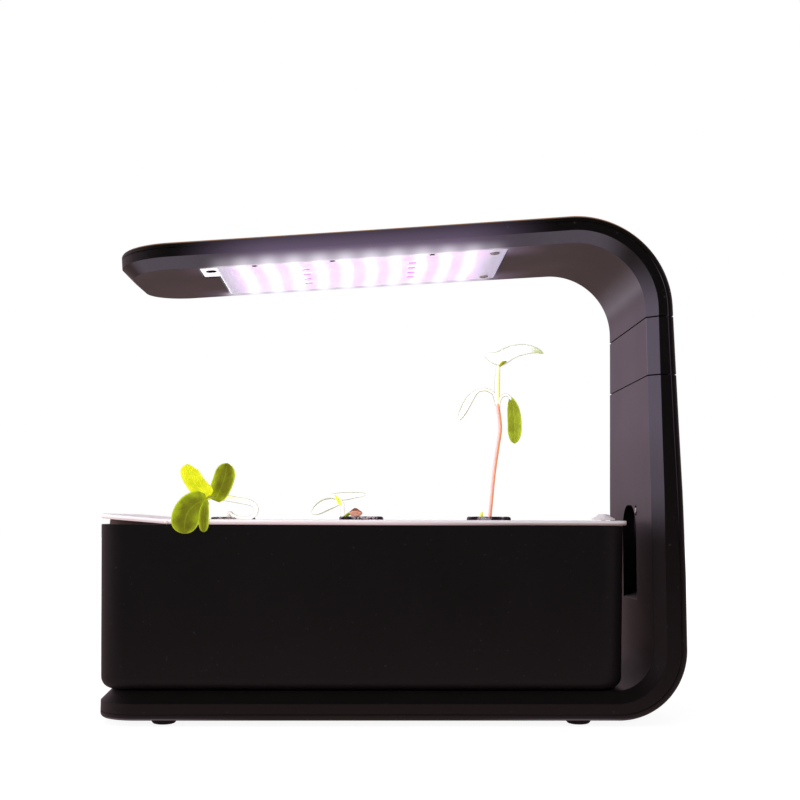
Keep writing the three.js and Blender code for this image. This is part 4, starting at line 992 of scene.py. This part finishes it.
def repeated(piece, count, step, copies, aside):
    modified(piece, "ARRAY", count=count, use_relative_offset=False, use_constant_offset=True,
             constant_offset_displace=(step * mm, 0, 0))
    return modified(piece, "ARRAY", count=copies, use_relative_offset=False, use_constant_offset=True,
                    constant_offset_displace=(0, aside * mm, 0))


def makeChips():
    step = rows["pitch"] / math.cos(band["armTilt"])
    edge = -(boardShape["lamps"] - 1) / 2 * boardShape["lampPitch"]
    chips = makeChip("led_chips", onArm(rows["first"]), edge, chipShape["length"], chipShape["width"], lensFinish)
    repeated(chips, rows["count"], step, boardShape["lamps"], boardShape["lampPitch"])
    return bentPiece(chips, armShape["half"], armShape["deep"])


# Two short rows of small violet lamps, and the small resistors along the board's front edge
violetLamps = {"x": (-47.5, 11.3), "count": 4, "pitch": 13.0, "length": 5.0, "width": 4.6, "start": -19.5}
resistors = {"x": (-74, -32.3, 21.3), "side": 36.6, "length": 2.4, "width": 1.3, "high": 0.5}


def makeViolets():
    pieces = []
    for x in violetLamps["x"]:
        lamp = makeChip("violet_lamps", onArm(x), violetLamps["start"], violetLamps["length"], violetLamps["width"],
                        violetFinish)
        pieces.append(repeated(lamp, 1, 1, violetLamps["count"], violetLamps["pitch"]))
    return bentPiece(joined("violet_lamps", pieces), armShape["half"], armShape["deep"])


def makeResistors():
    pieces = []
    for x in resistors["x"]:
        s, side, high = onArm(x), resistors["side"], boardShape["sink"] - resistors["high"]
        length, width = resistors["length"] / 2, resistors["width"] / 2
        body = block("resistor", (s - length, side - width, high), (s + length, side + width, 1.2), contactFinish)
        bevelEdges(body, lambda a, b: min(a.z, b.z) < high + 0.01, 0.12, 2)
        for end in (-1, 1):
            cap = block("cap", (s + end * length - 0.35, side - width - 0.05, high - 0.05),
                        (s + end * length + 0.35, side + width + 0.05, 1.2), steelFinish)
            pieces.append(bevelEdges(cap, lambda a, b: min(a.z, b.z) < high, 0.1, 1))
        pieces.append(body)
    return bentPiece(joined("board_resistors", pieces), armShape["half"], armShape["deep"])


settled(makeBoard(), "lamp", "led_board", "led_board")
for make in (makeChips, makeViolets, makeResistors):
    settled(make(), "lamp", "led_board")
print("LED board made")


# Water tank
tankShape = {"corner": 15, "baseRound": 6, "wall": 2.2, "draft": 1.6, "lip": 0.5}


def makeTank():
    low, high = corners("tank")
    tank = block("water_tank", low, high, tankFinish)
    bevelEdges(tank, upright, tankShape["corner"], 18)
    bevelEdges(tank, lambda a, b: max(a.z, b.z) < low.z + 0.01, tankShape["baseRound"], 8)
    dropFaces(tank, lambda centre, normal: normal.z > 0.9 and centre.z > high.z - 1)
    middle, reach = (low + high) / 2, high - low
    for vertex in tank.data.vertices:  # the walls lean in towards the base
        place = vertex.co / mm
        share = min(1, (high.z - place.z) / (reach.z - tankShape["baseRound"]))
        for axis in range(2):
            lean = 2 * tankShape["draft"] * share / reach[axis]
            place[axis] = middle[axis] + (place[axis] - middle[axis]) * (1 - lean)
        vertex.co = place * mm
    modified(tank, "SOLIDIFY", thickness=tankShape["wall"] * mm, offset=-1, use_even_offset=True)
    softened(tank, tankShape["lip"], 2, 50)
    return smooth(tank, 30)


settled(makeTank(), "tank", "tank_plastic", "tank")
print("tank made")


# Planting tray, fill flap and float indicator
trayShape = {"thick": 2.4, "corner": 15, "skirtInset": 4.3, "skirtWall": 1.5, "skirt": 8, "flapSkirt": 5,
             "flapLength": 35, "flapRest": math.radians(4.5), "flapBack": 6, "hingeClear": 0.8, "hingeBore": 0.8,
             "earWidth": 8, "earSide": 40, "gap": 0.3, "mouth": 14.4, "flange": 16.3, "flangeDepth": 1.5,
             "floatHole": 1.5, "edge": 0.45, "rodInset": 2.3}
tankLow, tankHigh = corners("tank")
trayHigh = corners("tray")[1]
hingeX = tankLow.x + trayShape["flapLength"]
hingeZ = trayHigh.z - trayShape["thick"] / 2
hingeRadius = trayShape["thick"] / 2
plateLow = trayHigh.z - trayShape["thick"]
halfTray = tankHigh.y


def skirtRing(name, x0, x1, depth):
    side = halfTray - trayShape["skirtInset"]
    ring = block(name, (x0, -side, plateLow - depth), (x1, side, plateLow + trayShape["thick"] / 2), whiteFinish)
    bevelEdges(ring, upright, trayShape["corner"] - trayShape["skirtInset"], 12)
    dropFaces(ring, lambda centre, normal: abs(normal.z) > 0.9)
    return modified(ring, "SOLIDIFY", thickness=trayShape["skirtWall"] * mm, offset=-1, use_even_offset=True)


def hingeRod(radius, y0, y1, finish):
    return rod("cutter", radius, (hingeX, y0, hingeZ), (hingeX, y1, hingeZ), finish, axis="Y", sides=32)


def makeTray():
    left = hingeX + hingeRadius + trayShape["hingeClear"]
    tray = block("planting_tray", (left, -halfTray, plateLow), (trayHigh.x, halfTray, trayHigh.z), whiteFinish)
    bevelEdges(tray, lambda a, b: upright(a, b) and a.x > 0, trayShape["corner"], 14)
    softened(tray, trayShape["edge"], 3)
    fused(tray, skirtRing("cutter", left + trayShape["skirtWall"], tankHigh.x - trayShape["skirtInset"],
                          trayShape["skirt"]))
    for side in (-1, 1):
        y0 = side * trayShape["earSide"] - trayShape["earWidth"] / 2
        y1 = y0 + trayShape["earWidth"]
        ear = block("cutter", (hingeX, y0, plateLow + 0.01), (left + 1, y1, trayHigh.z - 0.01), whiteFinish)
        fused(ear, hingeRod(hingeRadius, y0, y1, whiteFinish))
        fused(tray, ear)
    for name in ("left", "middle", "right"):
        x = middleOf("net_cup_" + name)[0]
        carved(tray, rod("cutter", trayShape["mouth"], (x, 0, plateLow - 2), (x, 0, trayHigh.z + 2), whiteFinish,
                         sides=72))
        carved(tray, rod("cutter", trayShape["flange"], (x, 0, trayHigh.z - trayShape["flangeDepth"]),
                         (x, 0, trayHigh.z + 2), whiteFinish, sides=72))
    x, y = middleOf("float_indicator")
    carved(tray, rod("cutter", trayShape["floatHole"], (x, y, plateLow - 2), (x, y, trayHigh.z + 2), whiteFinish))
    carved(tray, hingeRod(trayShape["hingeBore"], -halfTray, halfTray, whiteFinish))
    return smooth(tray, 30)


def makeFlap():
    flap = block("filling_flap", (tankLow.x, -halfTray, plateLow), (hingeX, halfTray, trayHigh.z), whiteFinish)
    bevelEdges(flap, lambda a, b: upright(a, b) and a.x < hingeX - 5, trayShape["corner"], 14)
    softened(flap, trayShape["edge"], 3)
    fused(flap, skirtRing("cutter", tankLow.x + trayShape["skirtInset"], hingeX - trayShape["flapBack"],
                          trayShape["flapSkirt"]))
    reach = halfTray - trayShape["rodInset"]
    fused(flap, hingeRod(hingeRadius, -reach, reach, whiteFinish))
    for side in (-1, 1):
        y0 = side * trayShape["earSide"] - trayShape["earWidth"] / 2 - trayShape["gap"]
        y1 = y0 + trayShape["earWidth"] + 2 * trayShape["gap"]
        carved(flap, block("cutter", (hingeX - hingeRadius - trayShape["hingeClear"], y0, plateLow - 2),
                           (hingeX + 4, y1, trayHigh.z + 2), whiteFinish))
    carved(flap, hingeRod(trayShape["hingeBore"], -halfTray, halfTray, whiteFinish))
    # painted shade: the skirt's faces below the flap's plate get the dark brown finish
    flap.data.materials.append(skirtShadeFinish)
    pick(flap, "FACE", lambda centre, normal: centre.z < plateLow - 0.05)
    secondFinish(flap)
    about = Matrix.Translation(Vector((hingeX, 0, hingeZ)) * mm)
    placed(flap, about @ Matrix.Rotation(trayShape["flapRest"], 4, "Y") @ about.inverted())
    return smooth(flap, 30)


floatShape = {"stem": 1.2, "base": 6.1, "top": 2.9, "edge": 0.7, "below": 0.9}


def makeFloat():
    low, high = corners("float_indicator")
    x, y = middleOf("float_indicator")
    capLow = trayHigh.z + trayShape["gap"]
    base, top, peak = floatShape["base"], floatShape["top"], high.z - floatShape["below"]
    profile = [(0, low.z), (floatShape["stem"], low.z), (floatShape["stem"], capLow), (base - 0.2, capLow),
               (base, capLow + 0.3), (base - 0.1, capLow + 0.7), (top + floatShape["edge"], peak - 1.1),
               (top + 0.2, peak - 0.35), (top - 0.6, peak), (0, peak)]
    return smooth(spun("level_indicator", profile, whiteFinish, (x, y)), 40)


settled(makeTray(), "tray", "tray_plastic", "tray")
settled(makeFlap(), "flap", "tray_plastic", "fill_flap")
settled(makeFloat(), "float", "tray_plastic", "float_indicator")
print("tray, flap and float made")


# Net cups and growing plugs
cupShape = {"mouth": 12.7, "foot": 9.4, "wall": 1.4, "flange": 16, "flangeThick": 1.2, "slots": 6,
            "slotWidth": 3.4, "slotLow": 6, "slotHigh": 28, "edge": 0.25}
plugShape = {"proud": 2.4, "step": 0.8, "gap": 0.3, "rough": 0.42, "socket": 1.25, "socketDepth": 6}
stemOffsets = {"left": -2.1, "middle": -10.2, "right": 0.7}
plugSinks = {"left": 1.5, "middle": 0.9, "right": 0.8}  # how far each top lies below its solid's


def makeCup(name):
    low, high = corners("net_cup_" + name)
    x = middleOf("net_cup_" + name)[0]
    foot, mouth, wall, flange = cupShape["foot"], cupShape["mouth"], cupShape["wall"], cupShape["flange"]
    under = high.z - cupShape["flangeThick"]
    profile = [(0, low.z), (foot + wall - 0.6, low.z), (foot + wall, low.z + 0.6), (mouth + wall, under),
               (flange, under), (flange, high.z - 0.3), (flange - 0.3, high.z), (mouth + 0.4, high.z),
               (mouth, high.z - 0.4), (foot, low.z + wall), (0, low.z + wall)]
    cup = spun("net_cup_" + name + "_basket", profile, cupFinish, (x, 0), steps=72)
    for k in range(cupShape["slots"] // 2):
        slot = block("cutter", (-20, -cupShape["slotWidth"] / 2, low.z + cupShape["slotLow"]),
                     (20, cupShape["slotWidth"] / 2, low.z + cupShape["slotHigh"]), cupFinish)
        bevelEdges(slot, lambda a, b: abs(a.x - b.x) > 1, 1.2, 3)
        placed(slot, Matrix.Translation((x * mm, 0, 0)) @ Matrix.Rotation(math.pi * k / 3, 4, "Z"))
        carved(cup, slot)
    return smooth(cup, 30)


def makePlug(name):
    low, high = corners("foam_plug_" + name)
    x = middleOf("foam_plug_" + name)[0]
    brim = high.z - plugShape["proud"]
    wide = cupShape["mouth"] - plugShape["gap"] - 0.15
    foot = cupShape["foot"] - plugShape["gap"] - 0.15
    edge = plugShape["step"]
    top = high.z - plugSinks[name]
    rings = [(wide - edge * 0.3, top - edge * 0.3), (wide - edge, top)]
    rings += [(wide - edge - (wide - edge) * k / 9, top) for k in range(1, 10)]
    profile = [(0, low.z + 0.2), (foot, low.z + 0.2), (wide, brim - 1)]
    profile += [(wide, brim - 1 + k * (top - edge - brim + 1) / 4) for k in range(1, 5)] + rings
    plug = spun("growing_plug_" + name, profile, growFinish, (x, 0), steps=80)
    modified(plug, "SUBSURF", levels=1, render_levels=1)
    hole = rod("cutter", plugShape["socket"], (x + stemOffsets[name], 0, high.z - plugShape["socketDepth"]),
               (x + stemOffsets[name], 0, high.z + 2), growFinish, sides=20)
    carved(plug, hole)
    grain = random.Random(7)
    for vertex in plug.data.vertices:  # crumbly top
        if vertex.co.z / mm > brim - 0.5:
            lift = plugShape["rough"] * (grain.random() - 0.5) * 2
            vertex.co.z += lift * mm
    return smooth(plug, 60)


for name in ("left", "middle", "right"):
    settled(makeCup(name), "pod_" + name, "cup_plastic", "net_cup_" + name)
    settled(makePlug(name), "pod_" + name, "grow_foam", "foam_plug_" + name)
print("pods made")


# Seedlings. Points are shares of 100 mm from the middle of the growing plug's top.
def smoothLine(points, count):
    ends = [points[0] * 2 - points[1]] + points + [points[-1] * 2 - points[-2]]
    line = []
    for k in range(len(points) - 1):
        a, b, c, d = ends[k:k + 4]
        for step in range(16):
            u = step / 16
            line.append(((2 * b) + (c - a) * u + (2 * a - 5 * b + 4 * c - d) * u ** 2
                         + (3 * b - a - 3 * c + d) * u ** 3) / 2)
    line.append(points[-1])
    lengths = [0]
    for here, ahead in zip(line, line[1:]):
        lengths.append(lengths[-1] + (ahead - here).length)
    result, k = [], 0
    for step in range(count + 1):
        target = lengths[-1] * step / count
        while k < len(lengths) - 2 and lengths[k + 1] < target:
            k += 1
        share = (target - lengths[k]) / max(lengths[k + 1] - lengths[k], 1e-9)
        result.append(line[k].lerp(line[k + 1], share))
    return result


def plantPoint(name, share):
    low, high = corners("foam_plug_" + name)
    return Vector(((low.x + high.x) / 2 + share[0] * 100, share[1] * 100, high.z + share[2] * 100))


def makeStemTube(label, name, shares, radii, finish, count=60):
    points = smoothLine([plantPoint(name, share) for share in shares], count)
    curve = bpy.data.curves.new(label, "CURVE")
    curve.dimensions = "3D"
    curve.bevel_depth = mm
    curve.bevel_resolution = 4
    curve.use_fill_caps = True
    spline = curve.splines.new("POLY")
    spline.points.add(count)
    for k, (point, place) in enumerate(zip(spline.points, points)):
        share = k / count * (len(radii) - 1)
        low = min(int(share), len(radii) - 2)
        point.co = [*(place * mm), 1]
        point.radius = radii[low] + (radii[low + 1] - radii[low]) * (share - low)
    piece = bpy.data.objects.new(label, curve)
    bpy.context.collection.objects.link(piece)
    activate(piece)
    bpy.ops.object.convert(target="MESH")
    piece = bpy.context.active_object
    piece.data.materials.append(finish)
    return smooth(piece, 60)


leafGrid = {"along": 32, "across": 14, "tip": 0.3, "groove": 0.4}


def widthAt(form, share):
    place = share * (len(form) - 1)
    low = min(int(place), len(form) - 2)
    a, b = form[low], form[low + 1]
    u = place - low
    beyond = max(0, (share - 1 + leafGrid["tip"]) / leafGrid["tip"])
    return (a + (b - a) * (u * u * (3 - 2 * u) * 0.4 + u * 0.6)) * math.sqrt(max(0.0005, 1 - beyond ** 2))


# A leaf: a grid laid along a path. cup raises its edges, ripple waves the margin.
def makeBlade(label, name, shares, width, form, finish, cup=0.2, twist=0.0, ripple=0.2, seed=1, thick=0.55):
    path = smoothLine([plantPoint(name, share) for share in shares], leafGrid["along"])
    bpy.ops.object.select_all(action="DESELECT")
    bpy.ops.mesh.primitive_grid_add(x_subdivisions=leafGrid["along"], y_subdivisions=leafGrid["across"], size=1)
    piece = named(label, finish)
    shift = random.Random(seed).random() * 6
    for vertex in piece.data.vertices:
        along, across = vertex.co.x + 0.5, vertex.co.y * 2
        k = min(int(along * leafGrid["along"]), leafGrid["along"] - 1)
        rest = along * leafGrid["along"] - k
        middle = path[k].lerp(path[k + 1], rest)
        tangent = (path[k + 1] - path[k]).normalized()
        flat = Matrix.Rotation(twist, 3, tangent) @ tangent.cross(Vector((0, -1, 0))).normalized()
        normal = flat.cross(tangent)
        half = width / 2 * widthAt(form, along)
        wave = ripple * math.sin(along * 9 + shift + across) * abs(across) ** 2 * min(1, half / 3)
        groove = -leafGrid["groove"] * thick * math.exp(-(across / 0.13) ** 2) * min(1, half / 2)
        vertex.co = (middle + flat * (across * half) + normal * (cup * half * across ** 2 + wave + groove)) * mm
    modified(piece, "SOLIDIFY", thickness=thick * mm, offset=0)
    modified(piece, "SUBSURF", levels=1, render_levels=1)
    return smooth(piece, 70)


roundLeaf = [0.16, 0.62, 0.86, 0.97, 1.0, 1.0, 1.0, 0.98, 0.95]
blockLeaf = [0.42, 0.8, 0.94, 1.0, 1.0, 1.0, 0.98, 0.96, 0.93]
longLeaf = [0.14, 0.5, 0.78, 0.94, 1.0, 0.98, 0.9, 0.8, 0.7]
wingLeaf = [0.2, 0.66, 1.0, 0.96, 0.84, 0.74, 0.6, 0.44, 0.34]
wedgeLeaf = [0.3, 0.66, 0.9, 1.0, 0.94, 0.8, 0.68, 0.62, 0.6]
lobeLeaf = [0.3, 0.6, 0.85, 0.98, 1.0, 1.0, 1.0, 1.0, 1.0]

leftPlant = [
    makeStemTube("left_stem", "left", [(-0.02, -0.03, -0.06), (-0.02, -0.03, -0.02), (-0.021, -0.035, 0.002),
                                       (-0.01, -0.045, 0.008), (0.012, -0.085, -0.008), (0.052, -0.12, -0.021),
                                       (0.1, -0.13, -0.018), (0.13, -0.13, 0.002), (0.14, -0.14, 0.03),
                                       (0.128, -0.15, 0.053), (0.1, -0.165, 0.068), (0.054, -0.18, 0.077),
                                       (-0.007, -0.21, 0.087), (-0.079, -0.24, 0.094)],
                 [0.9, 1.0, 1.15, 1.15, 1.1, 1.1, 1.15, 1.3, 1.5, 1.65, 1.65, 1.6, 1.45, 1.0], paleStem, 70),
    makeBlade("left_leaf_upper", "left", [(-0.085, -0.25, 0.1), (-0.125, -0.28, 0.12), (-0.159, -0.3, 0.151),
                                          (-0.188, -0.31, 0.194), (-0.209, -0.32, 0.232), (-0.213, -0.33, 0.266)],
              10.2, blockLeaf, brightLeaf, cup=0.12, twist=0.2, ripple=0.1, seed=2),
    makeBlade("left_leaf_right", "left", [(-0.068, -0.26, 0.072), (-0.045, -0.26, 0.131), (-0.021, -0.27, 0.195),
                                          (-0.005, -0.28, 0.274)],
              11.9, blockLeaf, oliveLeaf, cup=0.1, twist=-0.22, ripple=0.12, seed=5),
    makeStemTube("left_petiole", "left", [(-0.079, -0.24, 0.094), (-0.077, -0.42, 0.091), (-0.074, -0.53, 0.086),
                                          (-0.078, -0.583, 0.074)], [1.0, 0.85, 0.75, 0.35], greenStem, 20),
    makeBlade("left_leaf_lower", "left", [(-0.07, -0.588, 0.08), (-0.115, -0.589, 0.058), (-0.158, -0.59, 0.022),
                                          (-0.178, -0.59, -0.024), (-0.183, -0.59, -0.099)],
              14.6, blockLeaf, oliveLeaf, cup=0.0, ripple=0.04, seed=9, thick=0.3),
    makeBlade("left_leaf_lobe", "left", [(-0.073, -0.594, 0.074), (-0.082, -0.5945, 0.022), (-0.084, -0.595, -0.028),
                                         (-0.083, -0.595, -0.09)],
              5.2, lobeLeaf, oliveLeaf, cup=0.0, ripple=0.03, seed=12, thick=0.28)]
middlePlant = [
    makeStemTube("middle_stem", "middle", [(-0.102, 0, -0.055), (-0.102, 0, -0.01), (-0.105, 0, 0.035),
                                           (-0.112, 0, 0.075), (-0.13, 0, 0.094)],
                 [1.05, 1.1, 1.1, 1.2, 0.6], paleStem, 30),
    makeBlade("middle_leaf_upper", "middle", [(-0.178, 0.01, 0.108), (-0.14, 0, 0.106), (-0.092, -0.01, 0.105),
                                              (-0.031, -0.02, 0.112), (0.027, -0.03, 0.116)], 4.5, wedgeLeaf,
              paleLeaf, cup=0.1, twist=0.1, seed=3),
    makeBlade("middle_leaf_lower", "middle", [(-0.112, 0, 0.072), (-0.196, -0.02, 0.058), (-0.273, -0.04, 0.009)],
              7.2, longLeaf, paleLeaf, cup=0.15, twist=-0.2, seed=4),
    makeStemTube("middle_bud", "middle", [(-0.117, -0.012, 0.056), (-0.126, -0.014, 0.078), (-0.134, -0.014, 0.093),
                                           (-0.148, -0.014, 0.112)], [0.5, 1.0, 0.75, 0.4], budFinish, 20),
    makeStemTube("husk_root", "middle", [(-0.094, -0.01, -0.01), (-0.072, -0.015, 0.006), (-0.045, -0.02, 0.02)],
                 [0.8, 0.85, 0.7], greenStem, 20)]
rightPlant = [
    makeStemTube("right_stem", "right", [(0.006, 0, -0.055), (0.006, 0, -0.01), (0.012, 0, 0.06), (0.03, 0, 0.239),
                                         (0.05, 0, 0.381), (0.065, 0, 0.489), (0.055, 0, 0.596), (0.05, 0, 0.65)],
                 [1.0, 1.0, 1.0, 1.05, 1.1, 1.12, 1.1, 1.15], rosyStem, 90),
    makeStemTube("right_stem_top", "right", [(0.052, 0, 0.63), (0.05, 0, 0.734), (0.053, 0, 0.8), (0.057, 0, 0.845)],
                 [1.15, 1.45, 1.45, 1.0], tipStem, 40),
    makeBlade("right_leaf_top", "right", [(-0.022, -0.01, 0.906), (0.02, -0.01, 0.889), (0.065, -0.01, 0.884),
                                              (0.122, -0.01, 0.915), (0.177, -0.02, 0.931), (0.234, -0.02, 0.935),
                                              (0.279, -0.02, 0.927), (0.311, -0.02, 0.912)],
              8.9, wingLeaf, tipLeaf, cup=0.08, ripple=0.1, seed=6),
    makeStemTube("right_leaf_heart", "right", [(0.062, -0.01, 0.838), (0.078, -0.02, 0.856), (0.101, -0.02, 0.868)],
                 [0.5, 1.1, 0.3], greenStem, 16),
    makeStemTube("right_petiole", "right", [(0.056, 0, 0.61), (0.06, -0.003, 0.64), (0.073, -0.01, 0.666),
                                            (0.094, -0.02, 0.677), (0.113, -0.03, 0.667), (0.124, -0.03, 0.648)],
                 [0.9, 0.85, 0.8, 0.8, 0.8, 0.6], petioleStem, 30),
    makeBlade("right_leaf_drooping", "right", [(0.121, -0.03, 0.664), (0.135, -0.032, 0.6), (0.143, -0.034, 0.52),
                                               (0.142, -0.034, 0.402)],
              7.9, roundLeaf, greenLeaf, cup=0.12, twist=0.25, seed=7),
    makeStemTube("right_petiole_pale", "right", [(0.047, 0, 0.62), (0.038, 0, 0.66), (0.026, 0, 0.688),
                                                 (-0.015, -0.005, 0.707), (-0.055, -0.01, 0.7)],
                 [1.0, 1.0, 0.95, 0.9, 0.7], petioleStem, 30),
    makeBlade("right_leaf_pale", "right", [(-0.045, -0.01, 0.704), (-0.078, -0.01, 0.685), (-0.112, -0.01, 0.642),
                                           (-0.168, -0.02, 0.532)],
              4.8, longLeaf, paleLeaf, cup=0.15, twist=0.3, seed=8),
    makeStemTube("right_nub", "right", [(-0.042, -0.02, -0.01), (-0.042, -0.02, 0.012), (-0.038, -0.02, 0.022)],
                 [0.8, 0.9, 0.4], budFinish, 12)]


def makeHuskShell():
    end = plantPoint("middle", (-0.031, -0.02, 0.013))
    bpy.ops.object.select_all(action="DESELECT")
    bpy.ops.mesh.primitive_uv_sphere_add(segments=28, ring_count=16, radius=mm, location=end * mm,
                                         rotation=(0, 0.1, 0), scale=(3.7, 2.2, 2.9))
    husk = named("seed_husk", huskFinish)
    middle = end * mm
    for vertex in husk.data.vertices:  # a blunt and a pointed end, and a split along the top
        off = (vertex.co - middle) / mm
        off.yz *= 1 - 0.55 * max(0, abs(off.x + 0.3) / 3.7 - 0.15)
        if off.z > 1.2:
            off.z -= 0.5 * math.exp(-(off.y / 0.35) ** 2)
        vertex.co = middle + off * mm
    return smooth(husk, 60)


middlePlant.append(makeHuskShell())
for name, pieces in (("left", leftPlant), ("middle", middlePlant), ("right", rightPlant)):
    for piece in pieces:
        settled(piece, "pod_" + name, "leaf", "seedling_" + name)
print("seedlings made")


# Feet
def makeFoot(node):
    low, high = corners(node)
    x, y, radius = (low.x + high.x) / 2, (low.y + high.y) / 2, (high.x - low.x) / 2
    profile = [(0, 0.35), (radius - 3.4, 0.35), (radius - 3, 0), (radius - 1.7, 0), (radius - 0.9, 0.25),
               (radius - 0.25, 0.9), (radius, 1.7), (radius, high.z), (0, high.z)]
    return smooth(spun(node + "_pad", profile, rubberFinish, (x, y)), 40)


for node in ("foot_front_left", "foot_front_right", "foot_rear_left", "foot_rear_right"):
    settled(makeFoot(node), "stand", "foot_rubber", node)

# The nodes that keep their solids get their finish here
solidFinishes = [
    (steelFinish, ("stand_screw_front_left", "stand_screw_rear_left", "stand_screw_front_right",
                   "stand_screw_rear_right", "extension_screw_front", "extension_screw_rear", "arm_screw_left",
                   "arm_screw_right", "flap_pin")),
    (circuitFinish, ("driver_board",)),
    (contactFinish, ("power_jack", "column_socket", "extension_core", "extension_link", "arm_core", "arm_plug")),
    (wireFinish, ("stand_lead", "arm_lead")),
    (floatFinish, ("float_body",))]
for finish, nodes in solidFinishes:
    for node in nodes:
        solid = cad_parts[node]
        solid.data.materials.clear()
        solid.data.materials.append(finish)
        solid.material_slots[0].material = finish
print("solids finished")


# Floor, backdrop and light
stageLight = {"ambient": 0.3, "seen": 1.0, "overhead": 7.0, "front": 4.8, "left": 5.0, "right": 2.5, "lamp": 0.14,
              "floorWhite": 1.3, "nearShare": 0.7, "near": 330, "far": 900, "floorGlow": rgb(0.46, 0.31, 0.32),
              "wallGlow": rgb(0.62, 0.47, 0.53), "dark": rgb(0.025, 0.02, 0.02)}


def makeFloor():
    bpy.ops.object.select_all(action="DESELECT")
    bpy.ops.mesh.primitive_plane_add(size=12)
    finish = Finish("floor")
    grain = finish.noise(180, 3.0)
    colour = finish.mix(grain, rgb(0.83, 0.83, 0.83), rgb(0.85, 0.85, 0.85))
    diffuse = finish.node("ShaderNodeBsdfDiffuse", {}, {"Color": colour})
    white = finish.light("Emission", rgb(1, 1, 1), stageLight["floorWhite"])
    lit = finish.light("Emission", stageLight["floorGlow"])
    unlit = finish.light("Emission", stageLight["dark"])
    back = finish.blend(finish.axis("Y").between(-600, 0), unlit, lit)
    away = (finish.axis("X") ** 2 + finish.axis("Y") ** 2) ** 0.5
    share = away.between(stageLight["near"], stageLight["far"]) * (1 - stageLight["nearShare"])
    seen = finish.seen() * (share + stageLight["nearShare"])
    mixed = finish.blend(finish.mirrored(), finish.blend(seen, diffuse, white), back)
    named("floor", finish.close(mixed))


def lightWorld():
    bpy.context.scene.world = bpy.data.worlds.new("studio")
    studio = Finish("studio", bpy.context.scene.world)
    ambient = studio.light("Background", rgb(0.95, 0.96, 1.0), stageLight["ambient"])
    white = studio.light("Background", rgb(1, 1, 1), stageLight["seen"])
    # In glossy surfaces the room is pale behind the object and beside it, and dark before it and overhead
    pale = studio.light("Background", stageLight["wallGlow"])
    dark = studio.light("Background", stageLight["dark"])
    share = (studio.axis("Y") * mm).between(-0.85, 0.1) * (studio.axis("Z") * mm).between(0.9, 0.3)
    mixed = studio.blend(studio.mirrored(), studio.blend(studio.seen(), ambient, white),
                         studio.blend(share, dark, pale))
    studio.close(mixed, "ShaderNodeOutputWorld")


def softLamp(name, place, target, size, power, colour=(1, 1, 1)):
    bpy.ops.object.light_add(type="AREA", location=Vector(place) * mm)
    lamp = bpy.context.active_object
    lamp.name = name
    lamp.data.shape = "RECTANGLE"
    lamp.data.size, lamp.data.size_y = size[0] * mm, size[1] * mm
    lamp.data.energy = power
    lamp.data.color = colour
    lamp.visible_camera = False
    lamp.visible_glossy = False
    aim = Vector(target) - Vector(place)
    lamp.rotation_euler = aim.to_track_quat("-Z", "Y").to_euler()


makeFloor()
lightWorld()
for side, place, target, size in (("overhead", (-100, 100, 1500), (0, 0, 120), (1400, 1200)),
                                  ("front", (-700, -1300, 700), (0, 0, 120), (900, 900)),
                                  ("left", (-1300, -100, 260), (133, 0, 190), (700, 500)),
                                  ("right", (1100, -700, 500), (100, 0, 150), (500, 900))):
    softLamp(side + "_softbox", place, target, size, stageLight[side])
softLamp("grow_light", (-18, 0, 238), (-35, 0, 0), (150, 76), stageLight["lamp"], (1.0, 0.9, 0.97))
print("stage lit")
